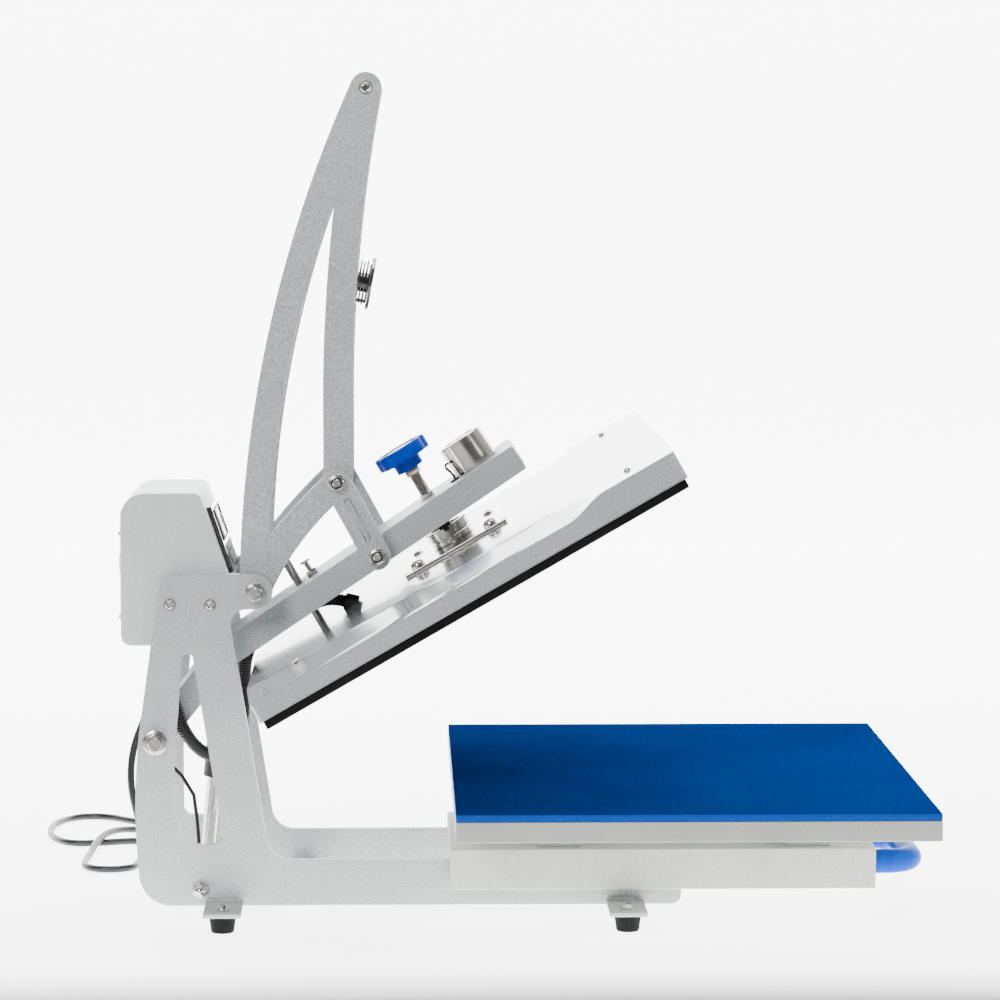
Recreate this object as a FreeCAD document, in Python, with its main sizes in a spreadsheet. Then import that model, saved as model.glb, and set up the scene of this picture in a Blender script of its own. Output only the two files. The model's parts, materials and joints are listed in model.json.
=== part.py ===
import FreeCAD, Part
import math
import os
from FreeCAD import Placement, Rotation, Vector

# Tilt-up heat press with a slide-out lower platen. Millimetres, +Z up, +X towards the drawer handle,
# origin on the table under the middle of the machine's outline. The pose is the fully opened one.

doc = FreeCAD.newDocument("heat_press")
sheet = doc.addObject("Spreadsheet::Sheet", "sizes")

SIZES = {
    # frame
    "plate_thick": 8, "base_half": 80, "plate_low": 15, "rail_top": 54.5, "rail_front": 135.6,
    "leg_top": 302.5, "axle_x": -318, "axle_z": 157, "ear_x": -232, "ear_z": 287.5, "ear_round": 15.4,
    "axle_round": 6, "axle_fit": 0.05, "tie_x": -279.8, "tie_z": 29, "tie_round": 5,
    "spacer_round": 9, "nut_deep": 8,
    "tab_thick": 4, "tab_wide": 32.5, "tab_out": 58, "foot_out": 40, "foot_top_round": 12,
    "foot_low_round": 10, "rear_tab_x": -259, "front_tab_x": 87,
    # main beam
    "beam_slope": 34, "beam_rear_slope": 51, "beam_tall": 23.5, "beam_half": 45, "beam_wall": 3.5,
    "beam_reach": 148.5, "beam_nut_low": 17.5, "link_x": -127, "link_z": 317.5,
    # handle and links
    "handle_half": 69, "handle_link_x": -161.5, "handle_link_z": 381, "handle_hub_round": 13.5,
    "grip_x": -135.9, "grip_z": 717.7, "grip_round": 12.7, "link_half": 77, "link_thick": 6,
    "link_round": 12, "armature_x": -131, "armature_z": 548.5, "armature_tilt": -10.4,
    "armature_round": 23.5, "armature_thick": 3.3,
    # upper platen
    "hub_x": -65.7, "hub_z": 333.9, "platen_slope": 30, "platen_long": 403, "platen_wide": 500,
    "platen_rear": -203, "cover_low": -38, "band_top": -23, "cover_top": -14.5, "shoulder_inset": 50,
    "cover_sheet": 1.5, "brow_long": 65, "brow_blend": 38, "heat_low": -47, "heat_top": -33,
    "mount_long": 100, "mount_wide": 130, "mount_thick": 3, "hub_round": 19.5,
    "guide_round": 3.9, "guide_at": -137, "rod_round": 5.2, "knob_round": 24.5, "knob_thick": 12,
    "knob_height": 71.2, "magnet_round": 21, "magnet_tall": 28, "magnet_along": 113,
    "press_slope": 31,
    # control box
    "box_half": 72, "box_sheet": 2, "box_rear": -347.3, "bezel_tall": 60, "bezel_wide": 100,
    "bezel_thick": 4, "key_round": 5, "key_spacing": 18,
    # drawer
    "drawer_rear": -64.7, "drawer_front": 302.8, "drawer_half": 95, "drawer_low": 30.5,
    "drawer_top": 66, "drawer_sheet": 3, "lower_rear": -62, "lower_long": 400, "lower_wide": 500,
    "lower_low": 99.5, "lower_thick": 17, "pad_thick": 6.5, "pull_round": 10.6, "pull_half": 60,
    "pull_front": 350, "pull_z": 48, "pull_bend": 24,
    # gas strut, conduit and cord
    "strut_side": 14, "strut_round": 11, "strut_rod_round": 7, "conduit_round": 6, "cord_round": 3.25,
}
for row, (alias, value) in enumerate(SIZES.items(), 1):
    sheet.set(f"A{row}", alias)
    sheet.set(f"B{row}", str(value))
    sheet.setAlias(f"B{row}", alias)
doc.recompute()


def size(alias):
    return float(sheet.get(alias))


X_AXIS = Vector(1, 0, 0)
Y_AXIS = Vector(0, 1, 0)
Z_AXIS = Vector(0, 0, 1)
NODES = []


def node(thing, label):
    """Name a finished sub-part; its label is its file name."""
    thing.Label = label
    NODES.append(thing)
    return thing


def moved(thing, placement):
    thing.Placement = placement.multiply(thing.Placement)
    return thing


def bind(thing, **formulas):
    """Bind properties to formulas, where @word is a cell of the sheet."""
    for key, formula in formulas.items():
        thing.setExpression(key, formula.replace("@", "sizes."))


def cylinder(radius, height, at, axis=Z_AXIS):
    """A cylinder whose base centre is at and which runs along axis; radius and height are sheet formulas."""
    thing = doc.addObject("Part::Cylinder", "cylinder")
    bind(thing, Radius=radius, Height=height)
    thing.Placement = Placement(Vector(*at), Rotation(Z_AXIS, Vector(*axis)))
    return thing


def block(length, width, height, at):
    """A box from its lowest corner; sizes are sheet formulas."""
    thing = doc.addObject("Part::Box", "block")
    bind(thing, Length=length, Width=width, Height=height)
    thing.Placement = Placement(Vector(*at), Rotation())
    return thing


def cut(base, *tools):
    """The base less the tools."""
    thing = doc.addObject("Part::Cut", "cut")
    thing.Base = base
    thing.Tool = tools[0] if len(tools) == 1 else join(*tools)
    return thing


def join(*things):
    thing = doc.addObject("Part::MultiFuse", "join")
    thing.Shapes = list(things)
    return thing


def group(things):
    """Identical or matching pieces kept as separate solids in one sub-part."""
    thing = doc.addObject("Part::Compound", "group")
    thing.Links = list(things)
    return thing


def made(shape):
    thing = doc.addObject("Part::Feature", "made")
    thing.Shape = shape
    return thing


def flat(x, z):
    """A point of a side-view outline, as a sketch on the XZ plane holds it."""
    return Vector(x, z, 0)


def rounded(corners):
    """Edges of a closed outline whose corners (x, z, radius) are rounded by tangent arcs."""
    starts, ends, middles = [], [], []
    count = len(corners)
    for i, (x, z, radius) in enumerate(corners):
        here = flat(x, z)
        before = flat(*corners[i - 1][:2]) - here
        after = flat(*corners[(i + 1) % count][:2]) - here
        half = before.getAngle(after) / 2
        reach = radius / math.tan(half)
        towards = (before.normalize() + after.normalize()).normalize()
        centre = here + towards * (radius / math.sin(half))
        starts.append(here + before * reach)
        ends.append(here + after * reach)
        middles.append(centre - towards * radius)
    edges = []
    for i in range(count):
        edges.append(Part.Arc(starts[i], middles[i], ends[i]))
        if ends[i].distanceToPoint(starts[(i + 1) % count]) > 1e-6:
            edges.append(Part.LineSegment(ends[i], starts[(i + 1) % count]))
    return edges


def circle(x, z, radius):
    return [Part.Circle(flat(x, z), Vector(0, 0, 1), radius)]


def side_sketch(body, name, loops):
    """A sketch on the body's own XZ plane."""
    sketch = body.newObject("Sketcher::SketchObject", name)
    plane = [f for f in body.Origin.OriginFeatures if f.Role == "XZ_Plane"][0]
    sketch.AttachmentSupport = [(plane, "")]
    sketch.MapMode = "FlatFace"
    for edges in loops:
        sketch.addGeometry(edges, False)
    return sketch


def side_pad(loops, thick, y_high):
    """A padded side-view outline that runs from y_high towards -Y by thick (a sheet formula)."""
    body = doc.addObject("PartDesign::Body", "body")
    sketch = side_sketch(body, "outline", loops)
    pad = body.newObject("PartDesign::Pad", "pad")
    pad.Profile = sketch
    bind(pad, Length=thick)
    body.Placement = Placement(Vector(0, y_high, 0), Rotation())
    return body


def frame(slope, x, z):
    """A frame at (x, z) whose own X axis climbs at slope degrees."""
    return Placement(Vector(x, 0, z), Rotation(Y_AXIS, -slope))


def both_sides(make):
    """make(side) for the near (-1) and far (+1) side."""
    return [make(side) for side in (-1, 1)]


def hexagon(radius, height, at, axis):
    """A hex nut or bolt head."""
    thing = doc.addObject("Part::Prism", "hexagon")
    thing.Polygon = 6
    bind(thing, Circumradius=radius, Height=height)
    thing.Placement = Placement(Vector(*at), Rotation(Z_AXIS, Vector(*axis)))
    return thing


BASE_HALF = size("base_half")
PLATE = size("plate_thick")
INNER = BASE_HALF - PLATE
AXLE = (size("axle_x"), size("axle_z"))
EAR = (size("ear_x"), size("ear_z"))
TIE = (size("tie_x"), size("tie_z"))
LINK = (size("link_x"), size("link_z"))
HANDLE_LINK = (size("handle_link_x"), size("handle_link_z"))
BEAM_FRAME = frame(size("beam_slope"), *LINK)
PLATEN_FRAME = frame(size("platen_slope"), size("hub_x"), size("hub_z"))
PRESS_FRAME = frame(size("press_slope"), size("hub_x"), size("hub_z"))
FIT_ROUND = size("axle_round") + size("axle_fit")


# ---- fixed frame -------------------------------------------------------------------------------

def side_plates():
    ear = size("ear_round")
    low, rail, top = size("plate_low"), size("rail_top"), size("leg_top")
    ear_front = EAR[0] + ear
    ear_low = EAR[1] - ear
    outline = rounded([
        (-330, low, 28), (-339.5, 112, 600), (-312.5, top, 16), (ear_front, top, ear - 0.3),
        (ear_front, ear_low, ear - 0.3), (-254.7, ear_low, 13), (-219.9, rail, 20),
        (size("rail_front"), rail, 3), (size("rail_front"), low, 8),
    ])
    window = rounded([
        (-302.3, 68, 8), (-302.3, 135, 300), (-294.2, 233.5, 3.6), (-285.6, 233.5, 3.6), (-258.9, 68, 8),
    ])
    holes = [circle(*AXLE, FIT_ROUND), circle(*EAR, FIT_ROUND), circle(*TIE, size("tie_round"))]
    for name, y_high in (("side_plate_near", -INNER), ("side_plate_far", BASE_HALF)):
        node(side_pad([outline, window, *holes], "@plate_thick", y_high), name)


def shafts():
    """The beam's axle, the handle's axle and the lower tie rod, with their nuts outside the plates."""
    out = BASE_HALF + size("nut_deep") + 2
    for name, (x, z), radius in (("beam_axle", AXLE, "@axle_round"), ("handle_axle", EAR, "@axle_round"),
                                 ("lower_tie_rod", TIE, "@tie_round")):
        node(cylinder(radius, f"{2 * out}", (x, -out, z), Y_AXIS), name)
    nuts = []
    for (x, z), wide, bore in ((AXLE, 10.5, "@axle_round"), (EAR, 8.6, "@axle_round"),
                               (TIE, 7.5, "@tie_round")):
        for side in (-1, 1):
            start = (x, side * BASE_HALF, z)
            nut = hexagon(f"{wide}", "@nut_deep", start, (0, side, 0))
            hole = cylinder(bore, "@nut_deep", start, (0, side, 0))
            nuts.append(cut(nut, hole))
    node(group(nuts), "side_nuts")
    beam_half = size("beam_half")

    def spacer(side):
        start = (AXLE[0], side * (beam_half + 0.5), AXLE[1])
        gap = f"{INNER - beam_half - 0.5}"
        return cut(cylinder("@spacer_round", gap, start, (0, side, 0)),
                   cylinder("@axle_round", gap, start, (0, side, 0)))
    node(group(both_sides(spacer)), "axle_spacers")


def cross_members():
    wide = f"{2 * INNER}"
    node(group([
        block("24", wide, "8", (-205, -INNER, 16)),
        block("24", wide, "8", (90, -INNER, 16)),
    ]), "cross_members")


def feet():
    tabs, pads = [], []
    low = size("plate_low")
    for x in (size("rear_tab_x"), size("front_tab_x")):
        for side in (-1, 1):
            corner = min(side * BASE_HALF, side * (BASE_HALF + size("tab_out")))
            tabs.append(block("@tab_wide", "@tab_out", "@tab_thick", (x - size("tab_wide") / 2, corner, low)))
            y = side * (BASE_HALF + size("foot_out"))
            pad = doc.addObject("Part::Cone", "foot")
            bind(pad, Radius1="@foot_low_round", Radius2="@foot_top_round", Height="@plate_low")
            pad.Placement = Placement(Vector(x, y, 0), Rotation())
            pads.append(pad)
    node(group(tabs), "foot_tabs")
    node(group(pads), "rubber_feet")


def drawer_slides():
    """Ball slides between each rail and the drawer: a fixed member and a moving member."""
    fixed = both_sides(lambda side: block("194", "5.5", "17", (-62, min(side * 80, side * 85.5), 36)))
    node(group(fixed), "fixed_slides")
    moving = both_sides(lambda side: block("355", "5.5", "17", (-62, min(side * 86.5, side * 92), 36)))
    node(group(moving), "moving_slides")


# ---- control box -------------------------------------------------------------------------------

BOX_FACE_TOP = Vector(-276.9, 0, 365.2)
BOX_FACE_LOW = Vector(-252, 0, 292)


def face_frame():
    """A frame on the sloping front face: own Z leaves the face, own X runs down the face."""
    down = BOX_FACE_LOW - BOX_FACE_TOP
    slope = math.degrees(math.atan2(-down.z, down.x))
    return Placement(BOX_FACE_TOP + down * 0.5, Rotation(Y_AXIS, slope))


def control_box():
    rear, sheet_thick = size("box_rear"), size("box_sheet")
    outer = [
        (rear, 371.6, 21), (BOX_FACE_TOP.x - 2.6, 371.6, 7), (BOX_FACE_LOW.x, BOX_FACE_LOW.z, 4),
        (-264, 270, 8), (-296, 240, 8), (rear, 240, 9),
    ]
    inner = [
        (rear + sheet_thick, 371.6 - sheet_thick, 19), (BOX_FACE_TOP.x - 4.2, 371.6 - sheet_thick, 5),
        (BOX_FACE_LOW.x - 2.4, BOX_FACE_LOW.z + 0.4, 3), (-265.2, 272.4, 6),
        (-296.8, 240 + sheet_thick, 7), (rear + sheet_thick, 240 + sheet_thick, 7),
    ]
    half = size("box_half")
    shell = side_pad([rounded(outer)], "2 * @box_half", half)
    hollow = side_pad([rounded(inner)], "2 * (@box_half - @box_sheet)", half - sheet_thick)
    face = face_frame()
    key_gap = size("key_spacing")
    window = moved(block("@bezel_tall - 8", "@bezel_wide - 12", "8", (-26, -44, -4)), face)
    service = block("8", "110", "70", (rear - 4, -55, 264))
    node(cut(shell, hollow, window, service), "control_box_shell")
    node(block("1", "120", "82", (rear - 1, -60, 258)), "control_box_rear_cover")
    screws = [cylinder("2.4", "1.6", (rear - 1, y, z), (-1, 0, 0)) for y in (-52, 52) for z in (263, 335)]
    for x, z in ((-304.6, 276.4), (-270.1, 275.9)):
        for side in (-1, 1):
            screws.append(cylinder("5", "3", (x, side * BASE_HALF, z), (0, side, 0)))
    node(group(screws), "box_screws")
    bezel = moved(block("@bezel_tall", "@bezel_wide", "@bezel_thick", (-30, -50, 0)), face)
    holes = []
    for i in (-1, 0, 1):
        hole = cylinder("@key_round + 0.4", "6", (20, i * key_gap, -1))
        holes.append(moved(hole, face))
    node(cut(bezel, *holes), "control_bezel")
    for i, name in zip((-1, 0, 1), ("set_key", "down_key", "up_key")):
        key = cylinder("@key_round", "5.5", (20, i * key_gap, 0.5))
        node(moved(key, face), name)
    switch = block("2", "22", "16", (rear - 3, -41, 300))
    mouth = block("6", "17", "11", (rear - 4, -38.5, 302.5))
    node(cut(switch, mouth), "switch_frame")
    node(block("1.2", "16", "10", (rear - 3.4, -38, 303)), "power_rocker")
    node(cylinder("7", "18", CORD_ROUTE[0]), "cord_gland")


# ---- beam --------------------------------------------------------------------------------------

def beam_outline(drop, front_trim, rear_more):
    """The beam's side view moved down by drop; the front trimmed and the rear made longer."""
    tall = size("beam_tall") / 2
    rear_slope, slope = math.radians(size("beam_rear_slope")), math.radians(size("beam_slope"))
    along_1 = flat(math.cos(rear_slope), math.sin(rear_slope))
    along_2 = flat(math.cos(slope), math.sin(slope))
    up_1, up_2 = flat(-along_1.y, along_1.x), flat(-along_2.y, along_2.x)
    axle, link = flat(*AXLE), flat(*LINK)

    def elbow(offset):
        a, b = axle + up_1 * offset, link + up_2 * offset
        gap = b - a
        reach = (gap.x * along_2.y - gap.y * along_2.x) / (along_1.x * along_2.y - along_1.y * along_2.x)
        return a + along_1 * reach
    high, low = tall - drop, -tall - drop
    rear = axle - along_1 * (14 + rear_more)
    front = link + along_2 * (size("beam_reach") - front_trim)
    corners = [
        (rear + up_1 * high, 10), (elbow(high), 8), (front + up_2 * high, 2),
        (front + up_2 * low, 2.5), (elbow(low), 8), (rear + up_1 * low, 10),
    ]
    return rounded([(p.x, p.y, r) for p, r in corners])


def beam():
    """An inverted channel, open below, that carries the platen, the magnet and the links."""
    wall = size("beam_wall")
    outer = side_pad([beam_outline(0, 0, 0)], "2 * @beam_half", size("beam_half"))
    inner = side_pad([beam_outline(wall, wall, 30)], "2 * (@beam_half - @beam_wall)",
                     size("beam_half") - wall)
    axle_hole = cylinder("@axle_round + @axle_fit", "120", (AXLE[0], -60, AXLE[1]), Y_AXIS)
    guide = moved(cylinder("8", "60", (size("guide_at"), 0, -10)), PLATEN_FRAME)
    rod = moved(cylinder("@rod_round + 0.6", "60", (0, 0, 5)), PRESS_FRAME)
    strut_hole = cylinder("4", "120", (*STRUT_TOP_PIN,), Y_AXIS)
    node(cut(outer, inner, axle_hole, guide, rod, strut_hole), "beam")
    node(cylinder("4", "2 * @beam_half + 6", (STRUT_TOP[0], -size("beam_half") - 3, STRUT_TOP[2]), Y_AXIS),
         "strut_top_pin")
    half = size("beam_tall") / 2
    nut = hexagon("9", "9", (0, 0, size("beam_nut_low")), Z_AXIS)
    hole = cylinder("@rod_round + 0.05", "30", (0, 0, size("beam_nut_low") - 5))
    node(moved(cut(nut, hole), PRESS_FRAME), "pressure_nut")
    magnet = cylinder("@magnet_round", "@magnet_tall", (size("magnet_along"), 0, half))
    node(moved(magnet, BEAM_FRAME), "electromagnet")

    def link_bolt(side):
        """Spacer against the beam and the shank that the link turns on, with its nut outside."""
        inner_face = size("link_half") - size("link_thick")
        spacer = cylinder("8", f"{inner_face - size('beam_half') - 0.5}",
                          (LINK[0], side * size("beam_half"), LINK[1]), (0, side, 0))
        shank = cylinder("@tie_round", f"{size('link_half') + 9 - size('beam_half')}",
                         (LINK[0], side * size("beam_half"), LINK[1]), (0, side, 0))
        nut = hexagon("8", "6", (LINK[0], side * (size("link_half") + 0.5), LINK[1]), (0, side, 0))
        return join(spacer, shank, nut)
    node(group(both_sides(link_bolt)), "link_bolts")


# ---- handle and links --------------------------------------------------------------------------

def bowed(centre_x, centre_z, radius, z_from, z_to, side=-1):
    """A vertical-ish arc of a large circle between two heights."""
    def at(z):
        return flat(centre_x + side * math.sqrt(radius ** 2 - (z - centre_z) ** 2), z)
    return at(z_from), at((z_from + z_to) / 2), at(z_to)


def handle_outline():
    hub = size("handle_hub_round")
    grip, ear, link = flat(size("grip_x"), size("grip_z")), flat(*EAR), flat(*HANDLE_LINK)
    back_centre, back_round = flat(807.4, 284.4), 1051.5
    front_centre, front_round = flat(1218.1, 445.8), 1366.5
    brace_centre = flat(8.1, 181.2)
    back_top = grip + (grip - back_centre).normalize() * hub
    back_low = ear + (ear - back_centre).normalize() * hub
    front_top = grip + (front_centre - grip).normalize() * hub
    front_low = link + flat(hub, 0)
    brace_top = link + (brace_centre - link).normalize() * hub
    brace_low = ear + (brace_centre - ear).normalize() * hub
    back_middle = back_centre + ((back_top + back_low) * 0.5 - back_centre).normalize() * back_round
    straight = flat(front_low.x, 466)
    front_middle = front_centre + ((front_top + straight) * 0.5 - front_centre).normalize() * front_round
    brace_round = ((brace_top - brace_centre).Length + (brace_low - brace_centre).Length) / 2
    brace_middle = brace_centre + ((brace_top + brace_low) * 0.5 - brace_centre).normalize() * brace_round

    def round_end(a, b, centre, outward):
        return Part.Arc(a, centre + outward.normalize() * hub, b)
    return [
        Part.Arc(back_low, back_middle, back_top),
        round_end(back_top, front_top, grip, flat(0.3, 1)),
        Part.Arc(front_top, front_middle, straight),
        Part.LineSegment(straight, front_low),
        round_end(front_low, brace_top, link, flat(1, -0.4)),
        Part.Arc(brace_top, brace_middle, brace_low),
        round_end(brace_low, back_low, ear, flat(-0.2, -1)),
    ]


def handle_window():
    """The long opening between the bowed back member, the straight arm and the brace."""
    back_low, back_middle, back_top = bowed(717.8, 297.9, 938.3, 334.3, 621.8)
    arm_low, arm_middle, _ = bowed(1261.2, 448.1, 1434.5, 466, 621.8)
    brace_centre, brace_round = flat(96, 94.3), 396
    corner = flat(arm_low.x, brace_centre.y + math.sqrt(brace_round ** 2 - (arm_low.x - brace_centre.x) ** 2))
    middle = brace_centre + ((corner + back_low) * 0.5 - brace_centre).normalize() * brace_round
    return [
        Part.Arc(back_low, back_middle, back_top),
        Part.Arc(back_top, arm_middle, arm_low),
        Part.LineSegment(arm_low, corner),
        Part.Arc(corner, middle, back_low),
    ]


def handle():
    half = size("handle_half")
    loops = [handle_outline(), handle_window(), circle(*EAR, FIT_ROUND)]
    for name, y_high in (("handle_plate_near", -half + PLATE), ("handle_plate_far", half)):
        node(side_pad(loops, "@plate_thick", y_high), name)
    inside = half - PLATE
    node(cylinder("@grip_round", f"{2 * inside}", (size("grip_x"), -inside, size("grip_z")), Y_AXIS),
         "handle_grip")
    arm = Placement(Vector(size("armature_x"), 0, size("armature_z")),
                    Rotation(Z_AXIS, Vector(math.cos(math.radians(size("armature_tilt"))), 0,
                                            math.sin(math.radians(size("armature_tilt"))))))
    bar = block("30", f"{2 * inside}", "6", (-15, -inside, -31))
    node(moved(bar, arm), "handle_crossbar")
    disc = cylinder("@armature_round", "@armature_thick", (0, 0, -size("armature_thick")))
    node(moved(disc, arm), "armature_disc")
    cup = cylinder("20", "11", (0, 0, -size("armature_thick") - 11))
    neck = cylinder("12", f"{25 - 11 - size('armature_thick')}", (0, 0, -25))
    node(moved(join(cup, neck), arm), "armature_bush")
    bolts = [moved(hexagon("6", "9", (0, 0, -40), Z_AXIS), arm)]
    for side in (-1, 1):
        bolts.append(cylinder("6", "3", (size("grip_x"), side * half, size("grip_z")), (0, side, 0)))
    node(group(bolts), "handle_fasteners")


def links():
    """Two flat links; each turns on the beam's bolt and stops short of the handle plate it pulls."""
    def link(side):
        y_high = side * size("link_half") if side > 0 else -size("link_half") + size("link_thick")
        radius = size("link_round")
        along = (flat(*HANDLE_LINK) - flat(*LINK)).normalize()
        across = flat(-along.y, along.x) * radius
        top, low = flat(*HANDLE_LINK), flat(*LINK)
        outline = [
            Part.LineSegment(low + across, top + across),
            Part.Arc(top + across, top + along * radius, top - across),
            Part.LineSegment(top - across, low - across),
            Part.Arc(low - across, low - along * radius, low + across),
        ]
        return side_pad([outline, circle(*LINK, size("tie_round") + size("axle_fit"))],
                        "@link_thick", y_high)
    node(group(both_sides(link)), "link_plates")
    nuts = both_sides(lambda side: hexagon("8", "7", (HANDLE_LINK[0], side * size("link_half"),
                                                     HANDLE_LINK[1]), (0, side, 0)))
    node(group(nuts), "link_top_nuts")


# ---- upper platen ------------------------------------------------------------------------------

def cover_section(x, band, top, inset, trim):
    """One cross-section wire of the cover at x, trimmed inwards by trim."""
    half, low = size("platen_wide") / 2 - trim, size("cover_low") - (2 if trim else 0)
    band, top = band - trim, top - trim
    points = [
        Vector(x, -half, low), Vector(x, -half, band), Vector(x, -half + inset, top),
        Vector(x, half - inset, top), Vector(x, half, band), Vector(x, half, low),
    ]
    return Part.makePolygon([*points, points[0]])


def cover_solid(trim):
    rear = size("platen_rear") + trim
    front = size("platen_rear") + size("platen_long") - trim
    brow = front + trim - size("brow_long")
    blend = brow - size("brow_blend")
    top, band, inset = size("cover_top"), size("band_top"), size("shoulder_inset")
    low_end = cover_section(rear, band, top, inset, trim)
    low_mid = cover_section(blend, band, top, inset, trim)
    high_mid = cover_section(brow, top - 1, top, 2, trim)
    high_end = cover_section(front, top - 1, top, 2, trim)
    parts = [Part.makeLoft(list(pair), True, True)
             for pair in ((low_end, low_mid), (low_mid, high_mid), (high_mid, high_end))]
    return parts[0].fuse(parts[1:]).removeSplitter()


def platen():
    cover = made(cover_solid(0).cut(cover_solid(size("cover_sheet"))))
    node(moved(cover, PLATEN_FRAME), "platen_cover")
    heat_thick = "@heat_top - @heat_low"
    rear = size("platen_rear")
    wide = size("platen_wide")
    heat = block("@platen_long - 6", "@platen_wide - 6", heat_thick,
                 (rear + 3, -wide / 2 + 3, size("heat_low")))
    node(moved(heat, PLATEN_FRAME), "heat_plate")
    blanket = block("@platen_long - 12", "@platen_wide - 12", "6", (rear + 6, -wide / 2 + 6, size("heat_top")))
    node(moved(blanket, PLATEN_FRAME), "insulation_blanket")
    long, broad, top = size("mount_long"), size("mount_wide"), size("cover_top")
    plate = block("@mount_long", "@mount_wide", "@mount_thick", (-long / 2, -broad / 2, top))
    node(moved(plate, PLATEN_FRAME), "platen_mount_plate")
    head = top + size("mount_thick")
    screws = [moved(cylinder("5.5", "4", (x, y, head)), PLATEN_FRAME) for x in (-36, 36) for y in (-54, 54)]
    for y in (-200, 200):
        screws.append(moved(cylinder("3", "2", (160, y, top)), PLATEN_FRAME))
        screws.append(moved(cylinder("3", "2", (-185, y, top)), PLATEN_FRAME))
    node(group(screws), "platen_screws")
    socket = cylinder("@hub_round", "5", (0, 0, head))
    node(moved(socket, PLATEN_FRAME), "hub_socket")
    guide = cylinder("@guide_round", "66", (size("guide_at"), 0, top))
    node(moved(guide, PLATEN_FRAME), "guide_rod")
    end = Vector(*CONDUIT_TOP_ROUTE[-1])
    boot = cylinder("7.5", "12", end, end - Vector(*CONDUIT_TOP_ROUTE[-2]))
    below = moved(block("80", "60", "40", (-150, -50, top - 40)), PLATEN_FRAME)
    node(cut(boot, below), "conduit_top_gland")


def pressure_screw():
    hub = cylinder("@hub_round", "5.3", (0, 0, -4.8))
    node(moved(hub, PRESS_FRAME), "press_hub")
    knob_low, thick = size("knob_height"), size("knob_thick")
    rod = cylinder("@rod_round", "@knob_height - 0.8", (0, 0, 0.8))
    jam_nut = hexagon("7.6", "5.8", (0, 0, knob_low - 15), Z_AXIS)
    node(moved(join(rod, jam_nut), PRESS_FRAME), "pressure_rod")
    lobes = 8
    wheel = cylinder("@knob_round - 2", "@knob_thick", (0, 0, knob_low))
    bumps = []
    for i in range(lobes):
        turn = 2 * math.pi * i / lobes
        reach = size("knob_round") - 8
        bumps.append(cylinder("8", "@knob_thick", (reach * math.cos(turn), reach * math.sin(turn), knob_low)))
    neck = cylinder("12.5", "9.2", (0, 0, knob_low - 9.2))
    socket = cylinder("@rod_round", "9.2", (0, 0, knob_low - 9.2))
    dish = cylinder("17", "2", (0, 0, knob_low + thick - 2))
    knob = cut(join(wheel, neck, *bumps), socket, dish)
    node(moved(knob, PRESS_FRAME), "pressure_knob")


# ---- drawer ------------------------------------------------------------------------------------

def drawer():
    rear, front = size("drawer_rear"), size("drawer_front")
    half, low, top, thick = (size(n) for n in ("drawer_half", "drawer_low", "drawer_top", "drawer_sheet"))
    shell = block("@drawer_front - @drawer_rear", "2 * @drawer_half", "@drawer_top - @drawer_low",
                  (rear, -half, low))
    hollow = block("@drawer_front - @drawer_rear", "2 * (@drawer_half - @drawer_sheet)",
                   "@drawer_top - @drawer_low", (rear - thick, -half + thick, low - thick))
    node(cut(shell, hollow), "drawer_box")
    tall = "@lower_low - @drawer_top"
    node(group([block("40", "170", tall, (x, -85, top)) for x in (10, 225)]), "platen_supports")
    lower_low = size("lower_low")
    corner = (size("lower_rear"), -size("lower_wide") / 2, lower_low)
    node(block("@lower_long", "@lower_wide", "@lower_thick", corner), "lower_platen")
    pad = block("@lower_long", "@lower_wide", "@pad_thick", (*corner[:2], lower_low + size("lower_thick")))
    node(pad, "silicone_pad")
    radius, bend, span, z = (size(n) for n in ("pull_round", "pull_bend", "pull_half", "pull_z"))
    reach = size("pull_front") - radius
    path = pipe_wire([(front, -span, z), (reach, -span, z), (reach, span, z), (front, span, z)], bend)
    ring = Part.Wire([Part.Circle(Vector(front, -span, z), X_AXIS, radius).toShape()])
    node(made(path.makePipeShell([ring], True, True)), "drawer_pull")


# ---- gas strut ---------------------------------------------------------------------------------

STRUT_LOW = Vector(TIE[0], 0, TIE[1])
STRUT_TOP = Vector(-258, 0, 228)
STRUT_TOP_PIN = (STRUT_TOP.x, -60, STRUT_TOP.z)


def gas_strut():
    """Lower rod on the tie rod and upper cylinder below the beam's pin; it runs beside the middle."""
    side = Vector(0, size("strut_side"), 0)
    axis = (STRUT_TOP - STRUT_LOW).normalize()
    long = (STRUT_TOP - STRUT_LOW).Length
    eye = cylinder("9", "12", (STRUT_LOW.x, size("strut_side") - 6, STRUT_LOW.z), Y_AXIS)
    rod = cylinder("@strut_rod_round", f"{long - 70}", STRUT_LOW + side + axis * 5, axis)
    bore = cylinder("@tie_round + @axle_fit", "40", (STRUT_LOW.x, size("strut_side") - 20, STRUT_LOW.z), Y_AXIS)
    node(cut(join(eye, rod), bore), "strut_rod")
    start, tube_long = 84, long - 84 - 10
    tube = cylinder("@strut_round", f"{tube_long}", STRUT_LOW + side + axis * start, axis)
    bore = cylinder("@strut_rod_round + 0.1", f"{tube_long - 8}", STRUT_LOW + side + axis * start, axis)
    node(cut(tube, bore), "strut_tube")


# ---- conduit and power cord --------------------------------------------------------------------

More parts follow.
